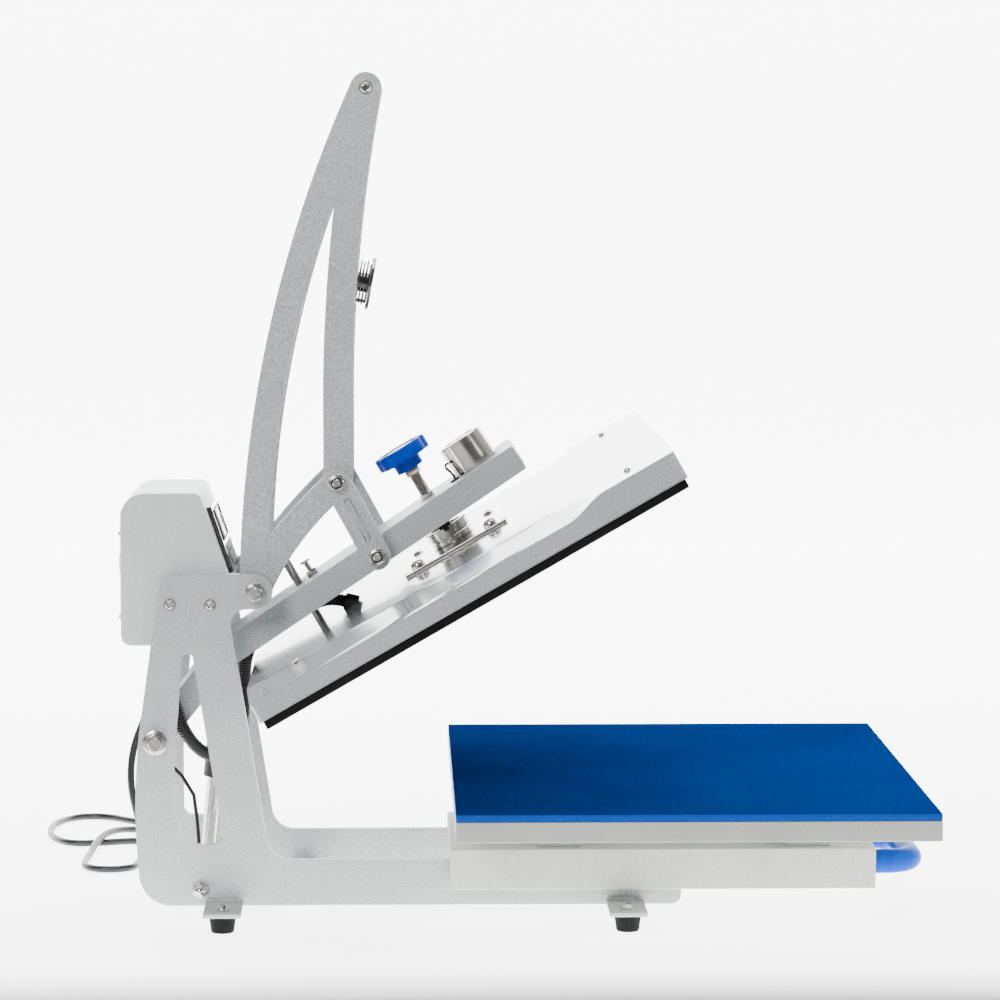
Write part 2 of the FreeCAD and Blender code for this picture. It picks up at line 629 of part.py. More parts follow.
def pipe_wire(points, bend=None, report=None):
    """Straight runs joined by tangent arcs. Without bend, each arc is as large as its two runs allow."""
    spots = [Vector(*p) for p in points]
    edges, start, radii = [], spots[0], []
    for before, here, after in zip(spots, spots[1:], spots[2:]):
        back, on = before - here, after - here
        turn = math.pi - back.getAngle(on)
        reach = 0.45 * min(back.Length, on.Length)
        radius = reach / math.tan(turn / 2)
        if bend:
            radius = bend
            reach = bend * math.tan(turn / 2)
        back.normalize()
        on.normalize()
        towards = (back + on).normalize()
        first, last = here + back * reach, here + on * reach
        middle = here + towards * (radius / math.cos(turn / 2) - radius)
        edges.append(Part.LineSegment(start, first).toShape())
        edges.append(Part.Arc(first, middle, last).toShape())
        start = last
        radii.append(radius)
    edges.append(Part.LineSegment(start, spots[-1]).toShape())
    if report:
        print(report, "radii", " ".join(f"{r:.0f}" for r in radii))
    return Part.Wire(edges)


def tube_along(points, radius, name):
    wire = pipe_wire(points, report=name)
    direction = Vector(*points[1]) - Vector(*points[0])
    ring = Part.Wire([Part.Circle(Vector(*points[0]), direction, radius).toShape()])
    shape = wire.makePipeShell([ring], True, True)
    expected = math.pi * radius ** 2 * wire.Length
    print(name, "length", round(wire.Length), "volume ratio", round(shape.Volume / expected, 4))
    return shape


CONDUIT_LOW_ROUTE = [
    (-306, -56, 222), (-306, -56, 202), (-301, -55, 180), (-292, -53, 158), (-278, -48, 142),
    (-260, -41, 138), (-248, -32, 152), (-243, -22, 174), (-243, -22, 199),
]
CONDUIT_TOP_ROUTE = [
    (-243, -22, 199.7), (-243, -22, 217), (-238.5, -21, 233), (-227, -20, 246), (-211, -20, 257.5),
    (-191, -20, 267), (-175, -20, 273.2), (-164, -20, 274.3), (-155.5, -20, 272.4),
]


def conduit():
    radius = size("conduit_round")
    node(made(tube_along(CONDUIT_LOW_ROUTE, radius, "conduit_lower")), "conduit_lower")
    node(made(tube_along(CONDUIT_TOP_ROUTE, radius, "conduit_upper")), "conduit_upper")
    node(cylinder("8.5", "18", CONDUIT_LOW_ROUTE[0]), "conduit_low_gland")


CORD_ROUTE = [
    (-325, 56, 222), (-325, 56, 192), (-334, 54, 163), (-346, 50, 134), (-349, 45, 104), (-343, 42, 74),
    (-333, 45, 46), (-321, 55, 22), (-309, 78, 7), (-300, 106, 3.5), (-293, 136, 3.5), (-289, 166, 3.5),
    (-293, 194, 3.5), (-306, 216, 3.5), (-326, 222, 3.5), (-344, 212, 3.5), (-352, 190, 3.5),
    (-352, 164, 3.5), (-366, 150, 3.5), (-386, 150, 3.5), (-400, 164, 3.5),
    (-402, 194, 3.5), (-400, 226, 3.5), (-397, 258, 8.5),
    (-391, 285, 12), (-382, 308, 12), (-366, 330, 9), (-340, 350, 3.5), (-309, 353, 3.5),
    (-284, 334, 3.5), (-280, 306, 3.5), (-301, 288, 3.5), (-332, 290, 3.5), (-364, 298, 3.5),
    (-398, 285, 3.5), (-425, 284, 3.5), (-443, 315, 3.5), (-450, 357, 3.5), (-447, 400, 3.5),
    (-428, 434, 3.5), (-397, 432, 3.5), (-372, 404, 3.5), (-343, 386, 3.5), (-308, 384, 3.5),
    (-272, 373, 3.5), (-243, 347, 3.5), (-216, 322, 3.5), (-180, 310, 3.5), (-142, 313, 3.5),
    (-104, 306, 3.5), (-68, 294, 3.5), (-30, 292, 3.5),
]


def power_cord():
    radius = size("cord_round")
    node(made(tube_along(CORD_ROUTE, radius, "power_cord")), "power_cord")
    end = CORD_ROUTE[-1]
    grip = cylinder("5.5", "16", (end[0], end[1], 5.5), X_AXIS)
    moulding = block("30", "26", "22", (end[0] + 16, end[1] - 13, 0))
    pins = [block("19", "1.6", "6.4", (end[0] + 46, end[1] + y, 9)) for y in (-7, 5.4)]
    ground = cylinder("2.4", "22", (end[0] + 46, end[1], 5.5), X_AXIS)
    node(join(grip, moulding), "power_plug")
    node(group([*pins, ground]), "plug_pins")


for build in (side_plates, shafts, cross_members, feet, drawer_slides, control_box, beam, handle, links,
              platen, pressure_screw, drawer, gas_strut, conduit, power_cord):
    build()
doc.recompute()

failed = [thing.Name for thing in doc.Objects if {"Invalid", "Error"} & set(thing.State)]
failed += [thing.Label for thing in NODES if thing.Shape.isNull() or not thing.Shape.isValid()]
if failed:
    raise SystemExit(f"failed: {failed}")
os.makedirs("parts", exist_ok=True)
for thing in NODES:
    thing.Shape.exportStep(f"parts/{thing.Label}.step")
    print(thing.Label, len(thing.Shape.Solids), round(thing.Shape.Volume / 1000, 1))
print(len(NODES), "sub-parts")
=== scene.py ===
"""Heat press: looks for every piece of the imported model, in metres, in the model's own frame."""
import json
import math

import bmesh
import bpy
from mathutils import Matrix, Vector, noise


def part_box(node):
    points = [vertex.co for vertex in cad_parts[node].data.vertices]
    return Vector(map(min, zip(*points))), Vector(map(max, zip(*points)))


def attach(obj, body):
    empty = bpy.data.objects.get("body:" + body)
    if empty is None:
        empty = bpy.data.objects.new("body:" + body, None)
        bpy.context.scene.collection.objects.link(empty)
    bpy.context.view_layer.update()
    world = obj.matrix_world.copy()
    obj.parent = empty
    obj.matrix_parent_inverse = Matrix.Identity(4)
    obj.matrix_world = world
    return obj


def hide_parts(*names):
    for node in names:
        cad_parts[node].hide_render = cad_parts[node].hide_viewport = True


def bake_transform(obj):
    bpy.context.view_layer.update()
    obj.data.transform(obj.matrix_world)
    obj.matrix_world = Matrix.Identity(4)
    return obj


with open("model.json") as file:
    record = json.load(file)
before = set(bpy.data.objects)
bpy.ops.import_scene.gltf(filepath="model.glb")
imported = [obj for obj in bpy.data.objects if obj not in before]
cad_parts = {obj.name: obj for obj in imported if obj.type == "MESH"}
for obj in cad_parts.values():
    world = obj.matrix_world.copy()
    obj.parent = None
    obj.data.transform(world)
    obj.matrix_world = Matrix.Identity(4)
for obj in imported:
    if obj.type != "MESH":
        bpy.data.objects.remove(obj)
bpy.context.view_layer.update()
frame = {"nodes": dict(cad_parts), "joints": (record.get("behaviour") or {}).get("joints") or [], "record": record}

MM = 0.001
RECORD = frame["record"]
BODY_OF = {node: body for body, nodes in RECORD["behaviour"]["bodies"].items() for node in nodes}
JOINTS = {joint["name"]: joint for joint in frame["joints"]}
NEAR, FAR = -1, 1


def pivot(joint):
    return Vector(JOINTS[joint]["pos_m"])


def in_scene(name, data):
    """A new object that holds the data."""
    made = bpy.data.objects.new(name, data)
    bpy.context.scene.collection.objects.link(made)
    return made


# ---- camera ------------------------------------------------------------------------------------

LENS, SENSOR = 135.91, 36.0
CAMERA_SPOT = (-0.10795, -3.30048, 0.6567)
CAMERA_YAW, CAMERA_PITCH, CAMERA_ROLL = 0.02681, 0.08991, 0.00107


def aim_camera():
    """A long lens a little above the machine, looking across it from its near side."""
    data = bpy.data.cameras.new("camera")
    data.lens = LENS
    data.sensor_width = SENSOR
    data.clip_end = 60.0
    camera = in_scene("camera", data)
    yaw, pitch, roll = CAMERA_YAW, CAMERA_PITCH, CAMERA_ROLL
    ahead = Vector((math.sin(yaw) * math.cos(pitch), math.cos(yaw) * math.cos(pitch), -math.sin(pitch)))
    level = Vector((math.cos(yaw), -math.sin(yaw), 0))
    above = level.cross(ahead)
    right = level * math.cos(roll) + above * math.sin(roll)
    up = above * math.cos(roll) - level * math.sin(roll)
    turn = Matrix((right, up, -ahead)).transposed().to_4x4()
    camera.matrix_world = Matrix.Translation(CAMERA_SPOT) @ turn
    bpy.context.scene.camera = camera


aim_camera()


# ---- shader groups -----------------------------------------------------------------------------

def group_tree(name, inputs, outputs):
    """An empty shader group with its sockets: (name, type, default) in, (name, type) out."""
    tree = bpy.data.node_groups.new(name, "ShaderNodeTree")
    for label, kind, default in inputs:
        socket = tree.interface.new_socket(label, in_out="INPUT", socket_type=kind)
        if default is not None:
            socket.default_value = default
    for label, kind in outputs:
        tree.interface.new_socket(label, in_out="OUTPUT", socket_type=kind)
    return tree, tree.nodes.new("NodeGroupInput"), tree.nodes.new("NodeGroupOutput")


def add_node(tree, kind, links=(), **settings):
    """A node with its properties set; each socket in links takes another node's output or a value."""
    made = tree.nodes.new(kind)
    for key, value in settings.items():
        setattr(made, key, value)
    for socket, source in dict(links).items():
        if hasattr(source, "links"):
            tree.links.new(source, made.inputs[socket])
        else:
            made.inputs[socket].default_value = source
    return made


def ramp(tree, source, low, high, interpolation="LINEAR"):
    """The source value spread from 0 at low to 1 at high."""
    spread = add_node(tree, "ShaderNodeMapRange", {"Value": source, "From Min": low, "From Max": high},
                      interpolation_type=interpolation)
    return spread.outputs["Result"]


def maths(tree, operation, a, b=0.0):
    return add_node(tree, "ShaderNodeMath", {0: a, 1: b}, operation=operation).outputs[0]


def make_flecks():
    """Fine light and dark grains, as in a hammered or sparkle powder coat."""
    tree, start, end = group_tree(
        "powder flecks",
        [("Vector", "NodeSocketVector", None), ("Scale", "NodeSocketFloat", 900.0)],
        [("Light", "NodeSocketFloat"), ("Dark", "NodeSocketFloat"), ("Height", "NodeSocketFloat")])
    coarse = add_node(tree, "ShaderNodeTexNoise",
                      {"Vector": start.outputs["Vector"], "Scale": start.outputs["Scale"], "Detail": 3.0,
                       "Roughness": 0.7})
    finer = maths(tree, "MULTIPLY", start.outputs["Scale"], 1.7)
    cells = add_node(tree, "ShaderNodeTexVoronoi", {"Vector": start.outputs["Vector"], "Scale": finer})
    tree.links.new(ramp(tree, coarse.outputs["Fac"], 0.55, 0.72), end.inputs["Light"])
    tree.links.new(ramp(tree, coarse.outputs["Fac"], 0.46, 0.32), end.inputs["Dark"])
    height = maths(tree, "ADD", coarse.outputs["Fac"], cells.outputs["Distance"])
    tree.links.new(height, end.inputs["Height"])
    return tree


def make_smudges():
    """Broad soft clouds, for a finish that is nowhere quite even."""
    tree, start, end = group_tree(
        "smudges",
        [("Vector", "NodeSocketVector", None), ("Scale", "NodeSocketFloat", 12.0)],
        [("Mask", "NodeSocketFloat")])
    cloud = add_node(tree, "ShaderNodeTexNoise",
                     {"Vector": start.outputs["Vector"], "Scale": start.outputs["Scale"], "Detail": 5.0,
                      "Roughness": 0.6, "Distortion": 0.4})
    tree.links.new(ramp(tree, cloud.outputs["Fac"], 0.35, 0.68), end.inputs["Mask"])
    return tree


def make_scratches():
    """Hairlines along one direction; Stretch is how far each runs along X, Y and Z."""
    tree, start, end = group_tree(
        "hairlines",
        [("Vector", "NodeSocketVector", None), ("Stretch", "NodeSocketVector", (1.0, 40.0, 40.0)),
         ("Scale", "NodeSocketFloat", 60.0)],
        [("Mask", "NodeSocketFloat"), ("Height", "NodeSocketFloat")])
    stretched = add_node(tree, "ShaderNodeVectorMath",
                         {0: start.outputs["Vector"], 1: start.outputs["Stretch"]}, operation="MULTIPLY")
    lines = add_node(tree, "ShaderNodeTexNoise",
                     {"Vector": stretched.outputs[0], "Scale": start.outputs["Scale"], "Detail": 6.0,
                      "Roughness": 0.75})
    tree.links.new(ramp(tree, lines.outputs["Fac"], 0.3, 0.7), end.inputs["Mask"])
    tree.links.new(lines.outputs["Fac"], end.inputs["Height"])
    return tree


def make_pores():
    """The open skin of a silicone sponge: small round pits of uneven size, with a mask used to paint shade into
    the pits.
    """
    tree, start, end = group_tree(
        "sponge pores",
        [("Vector", "NodeSocketVector", None), ("Scale", "NodeSocketFloat", 600.0)],
        [("Pit shade", "NodeSocketFloat"), ("Height", "NodeSocketFloat")])
    bent = add_node(tree, "ShaderNodeTexNoise",
                    {"Vector": start.outputs["Vector"], "Scale": start.outputs["Scale"], "Detail": 2.0})
    cells = add_node(tree, "ShaderNodeTexVoronoi",
                     {"Vector": start.outputs["Vector"], "Scale": start.outputs["Scale"]})
    depth = maths(tree, "ADD", cells.outputs["Distance"], maths(tree, "MULTIPLY", bent.outputs["Fac"], 0.6))
    # Painted shade: this mask rises to 1 deep in the pits, where the sponge materials darken their colour.
    tree.links.new(ramp(tree, depth, 0.62, 0.32), end.inputs["Pit shade"])
    tree.links.new(depth, end.inputs["Height"])
    return tree


def make_dust():
    """Settled specks, denser where a slow cloud is bright."""
    tree, start, end = group_tree(
        "dust",
        [("Vector", "NodeSocketVector", None), ("Amount", "NodeSocketFloat", 0.5)],
        [("Mask", "NodeSocketFloat")])
    cloud = add_node(tree, "ShaderNodeTexNoise",
                     {"Vector": start.outputs["Vector"], "Scale": 18.0, "Detail": 4.0})
    specks = add_node(tree, "ShaderNodeTexNoise",
                      {"Vector": start.outputs["Vector"], "Scale": 1400.0, "Detail": 1.0})
    dense = maths(tree, "MULTIPLY", ramp(tree, cloud.outputs["Fac"], 0.4, 0.7),
                  ramp(tree, specks.outputs["Fac"], 0.58, 0.7))
    tree.links.new(maths(tree, "MULTIPLY", dense, start.outputs["Amount"]), end.inputs["Mask"])
    return tree


FLECKS, SMUDGES, HAIRLINES = make_flecks(), make_smudges(), make_scratches()
PORES, DUST = make_pores(), make_dust()


# ---- materials ---------------------------------------------------------------------------------

def blank(name, roughness, metallic=0.0, **constants):
    """A material with its Principled surface; constants are set on that surface's sockets."""
    material = bpy.data.materials.new(name)
    material.use_nodes = True
    tree = material.node_tree
    surface = tree.nodes["Principled BSDF"]
    surface.inputs["Roughness"].default_value = roughness
    surface.inputs["Metallic"].default_value = metallic
    for socket, value in constants.items():
        surface.inputs[socket.replace("_", " ").title().replace("Ior", "IOR")].default_value = value
    place = tree.nodes.new("ShaderNodeTexCoord").outputs["Object"]
    return material, tree, surface, place


def placed_group(tree, group, **values):
    made = tree.nodes.new("ShaderNodeGroup")
    made.node_tree = group
    for socket, value in values.items():
        if hasattr(value, "links"):
            tree.links.new(value, made.inputs[socket])
        else:
            made.inputs[socket].default_value = value
    return made.outputs


def mixed(tree, factor, a, b):
    """Colour a where the factor is 0 and b where it is 1."""
    mix = add_node(tree, "ShaderNodeMix", data_type="RGBA")
    for socket, value in ((0, factor), (6, a), (7, b)):
        if hasattr(value, "links"):
            tree.links.new(value, mix.inputs[socket])
        elif socket == 0:
            mix.inputs[0].default_value = value
        else:
            mix.inputs[socket].default_value = (*value, 1.0)
    return mix.outputs[2]


def between(tree, factor, low, high):
    return add_node(tree, "ShaderNodeMapRange", {"Value": factor, "To Min": low, "To Max": high}).outputs[0]


def bumped(tree, surface, height, strength, distance):
    bump = add_node(tree, "ShaderNodeBump", {"Height": height, "Strength": strength, "Distance": distance})
    tree.links.new(bump.outputs["Normal"], surface.inputs["Normal"])


def powder_coat(name, colour, shine, fleck, grain=900.0, roughness=0.42):
    """Silver powder coat: fine light and dark flecks over a slightly cloudy ground."""
    material, tree, surface, place = blank(name, roughness, 0.25)
    flecks = placed_group(tree, FLECKS, Vector=place, Scale=grain)
    cloud = placed_group(tree, SMUDGES, Vector=place, Scale=9.0)
    ground = mixed(tree, cloud["Mask"], [c * 0.93 for c in colour], [min(1, c * 1.05) for c in colour])
    lit = mixed(tree, maths(tree, "MULTIPLY", flecks["Light"], fleck), ground, shine)
    dark = mixed(tree, maths(tree, "MULTIPLY", flecks["Dark"], fleck), lit, [c * 0.42 for c in colour])
    tree.links.new(dark, surface.inputs["Base Color"])
    rough = between(tree, flecks["Light"], roughness + 0.06, roughness - 0.14)
    tree.links.new(rough, surface.inputs["Roughness"])
    bumped(tree, surface, flecks["Height"], 0.25, 0.0002)
    return material


def gloss_cover_paint():
    """Smooth silver enamel of the pressed cover, with a faint flow texture under the gloss."""
    material, tree, surface, place = blank("cover enamel", 0.2, 0.7, coat_weight=0.35, coat_roughness=0.03)
    flecks = placed_group(tree, FLECKS, Vector=place, Scale=1500.0)
    cloud = placed_group(tree, SMUDGES, Vector=place, Scale=7.0)
    ground = mixed(tree, cloud["Mask"], (0.3, 0.315, 0.32), (0.335, 0.35, 0.36))
    tint = mixed(tree, maths(tree, "MULTIPLY", flecks["Light"], 0.2), ground, (0.8, 0.82, 0.82))
    tree.links.new(tint, surface.inputs["Base Color"])
    tree.links.new(between(tree, cloud["Mask"], 0.13, 0.19), surface.inputs["Roughness"])
    return material


def plated(name, colour, roughness=0.22, stretch=(1.0, 1.0, 1.0), scale=300.0):
    """Zinc or nickel plate over machined steel: hairlines and dull clouds."""
    material, tree, surface, place = blank(name, roughness, 1.0)
    lines = placed_group(tree, HAIRLINES, Vector=place, Stretch=stretch, Scale=scale)
    cloud = placed_group(tree, SMUDGES, Vector=place, Scale=90.0)
    shade = mixed(tree, lines["Mask"], [c * 0.86 for c in colour], [min(1, c * 1.08) for c in colour])
    dull = mixed(tree, maths(tree, "MULTIPLY", cloud["Mask"], 0.4), shade, [c * 0.72 for c in colour])
    tree.links.new(dull, surface.inputs["Base Color"])
    tree.links.new(between(tree, cloud["Mask"], roughness, roughness + 0.16), surface.inputs["Roughness"])
    bumped(tree, surface, lines["Height"], 0.12, 0.0001)
    return material


def turned_steel(name, place_xyz, axis_turn, colour=(0.6, 0.57, 0.52), roughness=0.12):
    """Lathe-turned steel: fine rings round the piece's own axis."""
    material, tree, surface, place = blank(name, roughness, 1.0)
    centred = add_node(tree, "ShaderNodeMapping", {"Vector": place, "Location": place_xyz,
                                                   "Rotation": (0.0, axis_turn, 0.0)}, vector_type="TEXTURE")
    rings = add_node(tree, "ShaderNodeTexWave",
                     {"Vector": centred.outputs[0], "Scale": 420.0, "Distortion": 1.2, "Detail": 2.0,
                      "Detail Scale": 2.0}, wave_type="RINGS", rings_direction="Z")
    bands = add_node(tree, "ShaderNodeTexWave",
                     {"Vector": centred.outputs[0], "Scale": 330.0, "Distortion": 1.5, "Detail": 2.0},
                     wave_type="BANDS", bands_direction="Z")
    both = maths(tree, "ADD", rings.outputs["Fac"], bands.outputs["Fac"])
    cloud = placed_group(tree, SMUDGES, Vector=place, Scale=60.0)
    shade = mixed(tree, cloud["Mask"], colour, [c * 0.84 for c in colour])
    tree.links.new(shade, surface.inputs["Base Color"])
    tree.links.new(between(tree, cloud["Mask"], roughness, roughness + 0.1), surface.inputs["Roughness"])
    bumped(tree, surface, both, 0.09, 0.00008)
    return material


def moulded(name, colour, roughness, grain=1100.0, depth=0.15, shine=0.5, coat=0.0):
    """Moulded plastic, rubber or baked coat with a fine grain, a little dust and uneven gloss."""
    material, tree, surface, place = blank(name, roughness, 0.0, coat_weight=coat, specular_ior_level=shine)
    flecks = placed_group(tree, FLECKS, Vector=place, Scale=grain)
    cloud = placed_group(tree, SMUDGES, Vector=place, Scale=30.0)
    dust = placed_group(tree, DUST, Vector=place, Amount=0.12)
    tone = mixed(tree, cloud["Mask"], [c * 0.86 for c in colour], [min(1, c * 1.12 + 0.002) for c in colour])
    dusty = mixed(tree, dust["Mask"], tone, [min(1.0, c + 0.22) for c in colour])
    tree.links.new(dusty, surface.inputs["Base Color"])
    gloss = between(tree, cloud["Mask"], roughness - 0.05, roughness + 0.08)
    tree.links.new(gloss, surface.inputs["Roughness"])
    bumped(tree, surface, flecks["Height"], depth, 0.0002)
    return material


def sponge_silicone():
    """The blue silicone sponge: pitted skin, pores painted darker as shade, and a faintly cloudy tone."""
    material, tree, surface, place = blank("blue sponge silicone", 1.0, 0.0, specular_ior_level=0.0)
    pores = placed_group(tree, PORES, Vector=place, Scale=520.0)
    cloud = placed_group(tree, SMUDGES, Vector=place, Scale=5.0)
    ground = mixed(tree, cloud["Mask"], (0.0, 0.018, 0.12), (0.0, 0.024, 0.145))
    # Painted shade: the pits are darkened towards a near-black blue.
    pit_shaded = mixed(tree, maths(tree, "MULTIPLY", pores["Pit shade"], 0.55), ground, (0.0, 0.005, 0.042))
    tree.links.new(pit_shaded, surface.inputs["Base Color"])
    bumped(tree, surface, pores["Height"], 0.55, 0.0005)
    return material


def cut_silicone():
    """The sawn edge of the sponge, lighter than its skin and with open pores."""
    material, tree, surface, place = blank("cut edge of sponge", 0.8, 0.0, specular_ior_level=0.08)
    pores = placed_group(tree, PORES, Vector=place, Scale=760.0)
    # Painted shade: the pits are darker than the rest of the cut surface.
    ground = mixed(tree, pores["Pit shade"], (0.0004, 0.06, 0.38), (0.0003, 0.02, 0.15))
    tree.links.new(ground, surface.inputs["Base Color"])
    bumped(tree, surface, pores["Height"], 0.7, 0.0006)
    return material


def glass_wool():
    """Woven glass cloth of the insulation, with a coarse over and under weave, painted darker between the threads
    as shade.
    """
    material, tree, surface, place = blank("glass wool cloth", 0.85, 0.0, sheen_weight=0.25)
    warp = add_node(tree, "ShaderNodeTexWave", {"Vector": place, "Scale": 180.0, "Distortion": 0.6},
                    bands_direction="X")
    weft = add_node(tree, "ShaderNodeTexWave", {"Vector": place, "Scale": 180.0, "Distortion": 0.6},
                    bands_direction="Y")
    weave = maths(tree, "MULTIPLY", warp.outputs["Fac"], weft.outputs["Fac"])
    # Painted shade: the cloth is darker where the weave dips between the threads.
    tree.links.new(mixed(tree, weave, (0.52, 0.51, 0.46), (0.8, 0.79, 0.74)), surface.inputs["Base Color"])
    bumped(tree, surface, weave, 0.5, 0.0008)
    return material


def dark_glass():
    """Smoked window over the display."""
    material, tree, surface, place = blank("smoked window", 0.08, 0.0, coat_weight=1.0, coat_roughness=0.03)
    cloud = placed_group(tree, SMUDGES, Vector=place, Scale=40.0)
    tree.links.new(mixed(tree, cloud["Mask"], (0.006, 0.006, 0.008), (0.012, 0.012, 0.015)),
                   surface.inputs["Base Color"])
    tree.links.new(between(tree, cloud["Mask"], 0.05, 0.14), surface.inputs["Roughness"])
    return material


HUB = pivot("platen_tilt")
LINK = pivot("link_swing")
BEAM_SLOPE, PRESS_SLOPE, PLATEN_SLOPE = math.radians(34), math.radians(31), math.radians(30)


def tilted(origin, slope):
    """A frame in millimetres at origin whose X climbs at slope towards the front."""
    return Matrix.Translation(origin) @ Matrix.Rotation(-slope, 4, "Y") @ Matrix.Scale(MM, 4)


BEAM_FRAME = tilted(LINK, BEAM_SLOPE)
PRESS_FRAME = tilted(HUB, PRESS_SLOPE)
PLATEN_FRAME = tilted(HUB, PLATEN_SLOPE)
ARMATURE_SPOT, ARMATURE_TURN = Vector((-0.131, 0, 0.5485)), math.radians(100.4)
ARM_FRAME = tilted(ARMATURE_SPOT, 0) @ Matrix.Rotation(ARMATURE_TURN, 4, "Y")
MAGNET_ALONG, MAGNET_FOOT = 113, 11.75
LEVEL = Matrix.Scale(MM, 4)
IN_PLACE = Matrix.Identity(4)

COAT = powder_coat("speckled silver", (0.385, 0.415, 0.415), (0.84, 0.87, 0.87), 0.72, 600.0)
COAT_FINE = powder_coat("speckled silver fine", (0.58, 0.615, 0.615), (0.92, 0.94, 0.94), 0.6, 680.0, 0.36)
PALE_PAINT = powder_coat("pale warm grey", (0.44, 0.455, 0.425), (0.84, 0.84, 0.82), 0.4, 700.0, 0.5)
COVER_PAINT = gloss_cover_paint()
ZINC = plated("bright zinc", (0.56, 0.54, 0.5), 0.16)
ZINC_ROLLED = plated("rolled zinc", (0.58, 0.58, 0.56), 0.3, (1.0, 40.0, 40.0), 50.0)
NICKEL = plated("nickel", (0.6, 0.57, 0.52), 0.1, scale=200.0)
DARK_STEEL = plated("blackened steel", (0.3, 0.26, 0.22), 0.2, scale=260.0)
MAGNET_STEEL = turned_steel("magnet shell", BEAM_FRAME @ Vector((MAGNET_ALONG, 0, 0)), -BEAM_SLOPE)
HUB_STEEL = turned_steel("hub steel", HUB, -PRESS_SLOPE)
ARMATURE_STEEL = turned_steel("armature steel", ARMATURE_SPOT, ARMATURE_TURN, (0.3, 0.29, 0.28))
HEAT_COAT = moulded("black non-stick coat", (0.002, 0.002, 0.0018), 0.5, 1600.0, 0.08, 0.12)
RUBBER = moulded("black rubber", (0.003, 0.003, 0.003), 0.7, 900.0, 0.3, 0.1)
BLACK_PLASTIC = moulded("black plastic", (0.006, 0.006, 0.0065), 0.45, 1300.0, 0.2, 0.3)
CORD_SKIN = moulded("cord jacket", (0.006, 0.007, 0.008), 0.36, 700.0, 0.1, 0.4)
GREY_PLASTIC = moulded("grey keys", (0.36, 0.37, 0.38), 0.4, 1000.0, 0.12)
LIGHT_PLASTIC = moulded("light bezel plastic", (0.66, 0.66, 0.63), 0.35, 900.0, 0.12)
BLUE_PLASTIC = moulded("blue knob plastic", (0.0002, 0.036, 0.36), 0.4, 500.0, 0.05, 0.03, 0.01)
BLUE_ENAMEL = moulded("blue pull sleeve", (0.0002, 0.055, 0.4), 0.36, 420.0, 0.06, 0.03, 0.01)
GLOSS_BLACK = moulded("gloss black panel", (0.003, 0.003, 0.0035), 0.1, 900.0, 0.02, 0.5, 1.0)
DARK_CHROME = plated("dark chrome", (0.2, 0.19, 0.18), 0.12, scale=160.0)
POLISHED_ROD = plated("polished rod", (0.34, 0.33, 0.31), 0.08, scale=160.0)
SPONGE, SPONGE_EDGE = sponge_silicone(), cut_silicone()
BLANKET, WINDOW = glass_wool(), dark_glass()
BRASS = plated("brass", (0.72, 0.5, 0.2), 0.2)
RED_PLASTIC = moulded("red rocker", (0.36, 0.012, 0.008), 0.3, 900.0, 0.08)


# ---- making pieces -----------------------------------------------------------------------------

def mesh_from(bm, name):
    mesh = bpy.data.meshes.new(name)
    bm.to_mesh(mesh)
    bm.free()
    return mesh


def verts_of(made):
    """The vertices among what an operator made."""
    return [v for v in made if isinstance(v, bmesh.types.BMVert)]


def open_edges(bm):
    return [e for e in bm.edges if e.is_boundary]


def creases(bm, angle):
    """The edges where two faces turn by more than angle."""
    return [e for e in bm.edges if len(e.link_faces) == 2 and e.calc_face_angle() > math.radians(angle)]


def bevel(bm, edges, width, segments):
    bmesh.ops.bevel(bm, geom=edges, offset=width, offset_type="OFFSET", segments=segments, profile=0.5,
                    affect="EDGES", clamp_overlap=True, material=-1)


def finish(bm, name, material, node, place=LEVEL, stands_in=False, sharp=38):
    """The shape placed and smoothed, on its node's body; it may stand in for the node."""
    bmesh.ops.transform(bm, matrix=place, verts=bm.verts)
    bmesh.ops.recalc_face_normals(bm, faces=bm.faces)
    mesh = mesh_from(bm, name)
    mesh.polygons.foreach_set("use_smooth", [True] * len(mesh.polygons))
    mesh.set_sharp_from_angle(angle=math.radians(sharp))
    for one in material if isinstance(material, (list, tuple)) else [material]:
        mesh.materials.append(one)
    piece = in_scene(name, mesh)
    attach(piece, BODY_OF[node])
    if stands_in:
        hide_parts(node)
    return piece


def join_shapes(*shapes):
    """Several bmeshes as one."""
    whole = bmesh.new()
    for shape in shapes:
        mesh = mesh_from(shape, "part")
        whole.from_mesh(mesh)
        bpy.data.meshes.remove(mesh)
    return whole


def moved(bm, place):
    bmesh.ops.transform(bm, matrix=place, verts=bm.verts)
    return bm


def soften(bm, width, angle=30, segments=2):
    """Bevel every edge sharper than angle."""
    bevel(bm, creases(bm, angle), width, segments)
    return bm


def cad_shape(node):
    """A copy of the node's mesh with its triangles merged into clean faces."""
    bm = bmesh.new()
    bm.from_mesh(frame["nodes"][node].data)
    bmesh.ops.remove_doubles(bm, verts=bm.verts, dist=2e-6)
    bmesh.ops.dissolve_limit(bm, angle_limit=math.radians(0.6), verts=bm.verts, edges=bm.edges)
    return bm


def eased(node, material, width, segments=2, angle=30, sharp=38):
    """The node again with its sharp edges rounded over, in its finish."""
    bm = soften(cad_shape(node), width * MM, angle, segments)
    piece = finish(bm, node + "_finished", material, node, IN_PLACE, True, sharp)
    weigh = piece.modifiers.new("weighted normals", "WEIGHTED_NORMAL")
    weigh.keep_sharp = True


def lathe(profile, steps=40, closed=False):
    """A solid turned round Z from (radius, height) points; a closed section leaves a bore."""
    bm = bmesh.new()
    verts = [bm.verts.new((radius, 0, height)) for radius, height in profile]
    onward = verts[1:] + verts[:1] if closed else verts[1:]
    edges = [bm.edges.new(pair) for pair in zip(verts, onward)]
    bmesh.ops.spin(bm, geom=verts + edges, cent=(0, 0, 0), axis=(0, 0, 1), dvec=(0, 0, 0),
                   angle=2 * math.pi, steps=steps, use_merge=True, use_duplicate=False)
    bmesh.ops.remove_doubles(bm, verts=bm.verts, dist=1e-4)
    return bm


def ring_lathe(profile, steps=40):
    return lathe(profile, steps, closed=True)


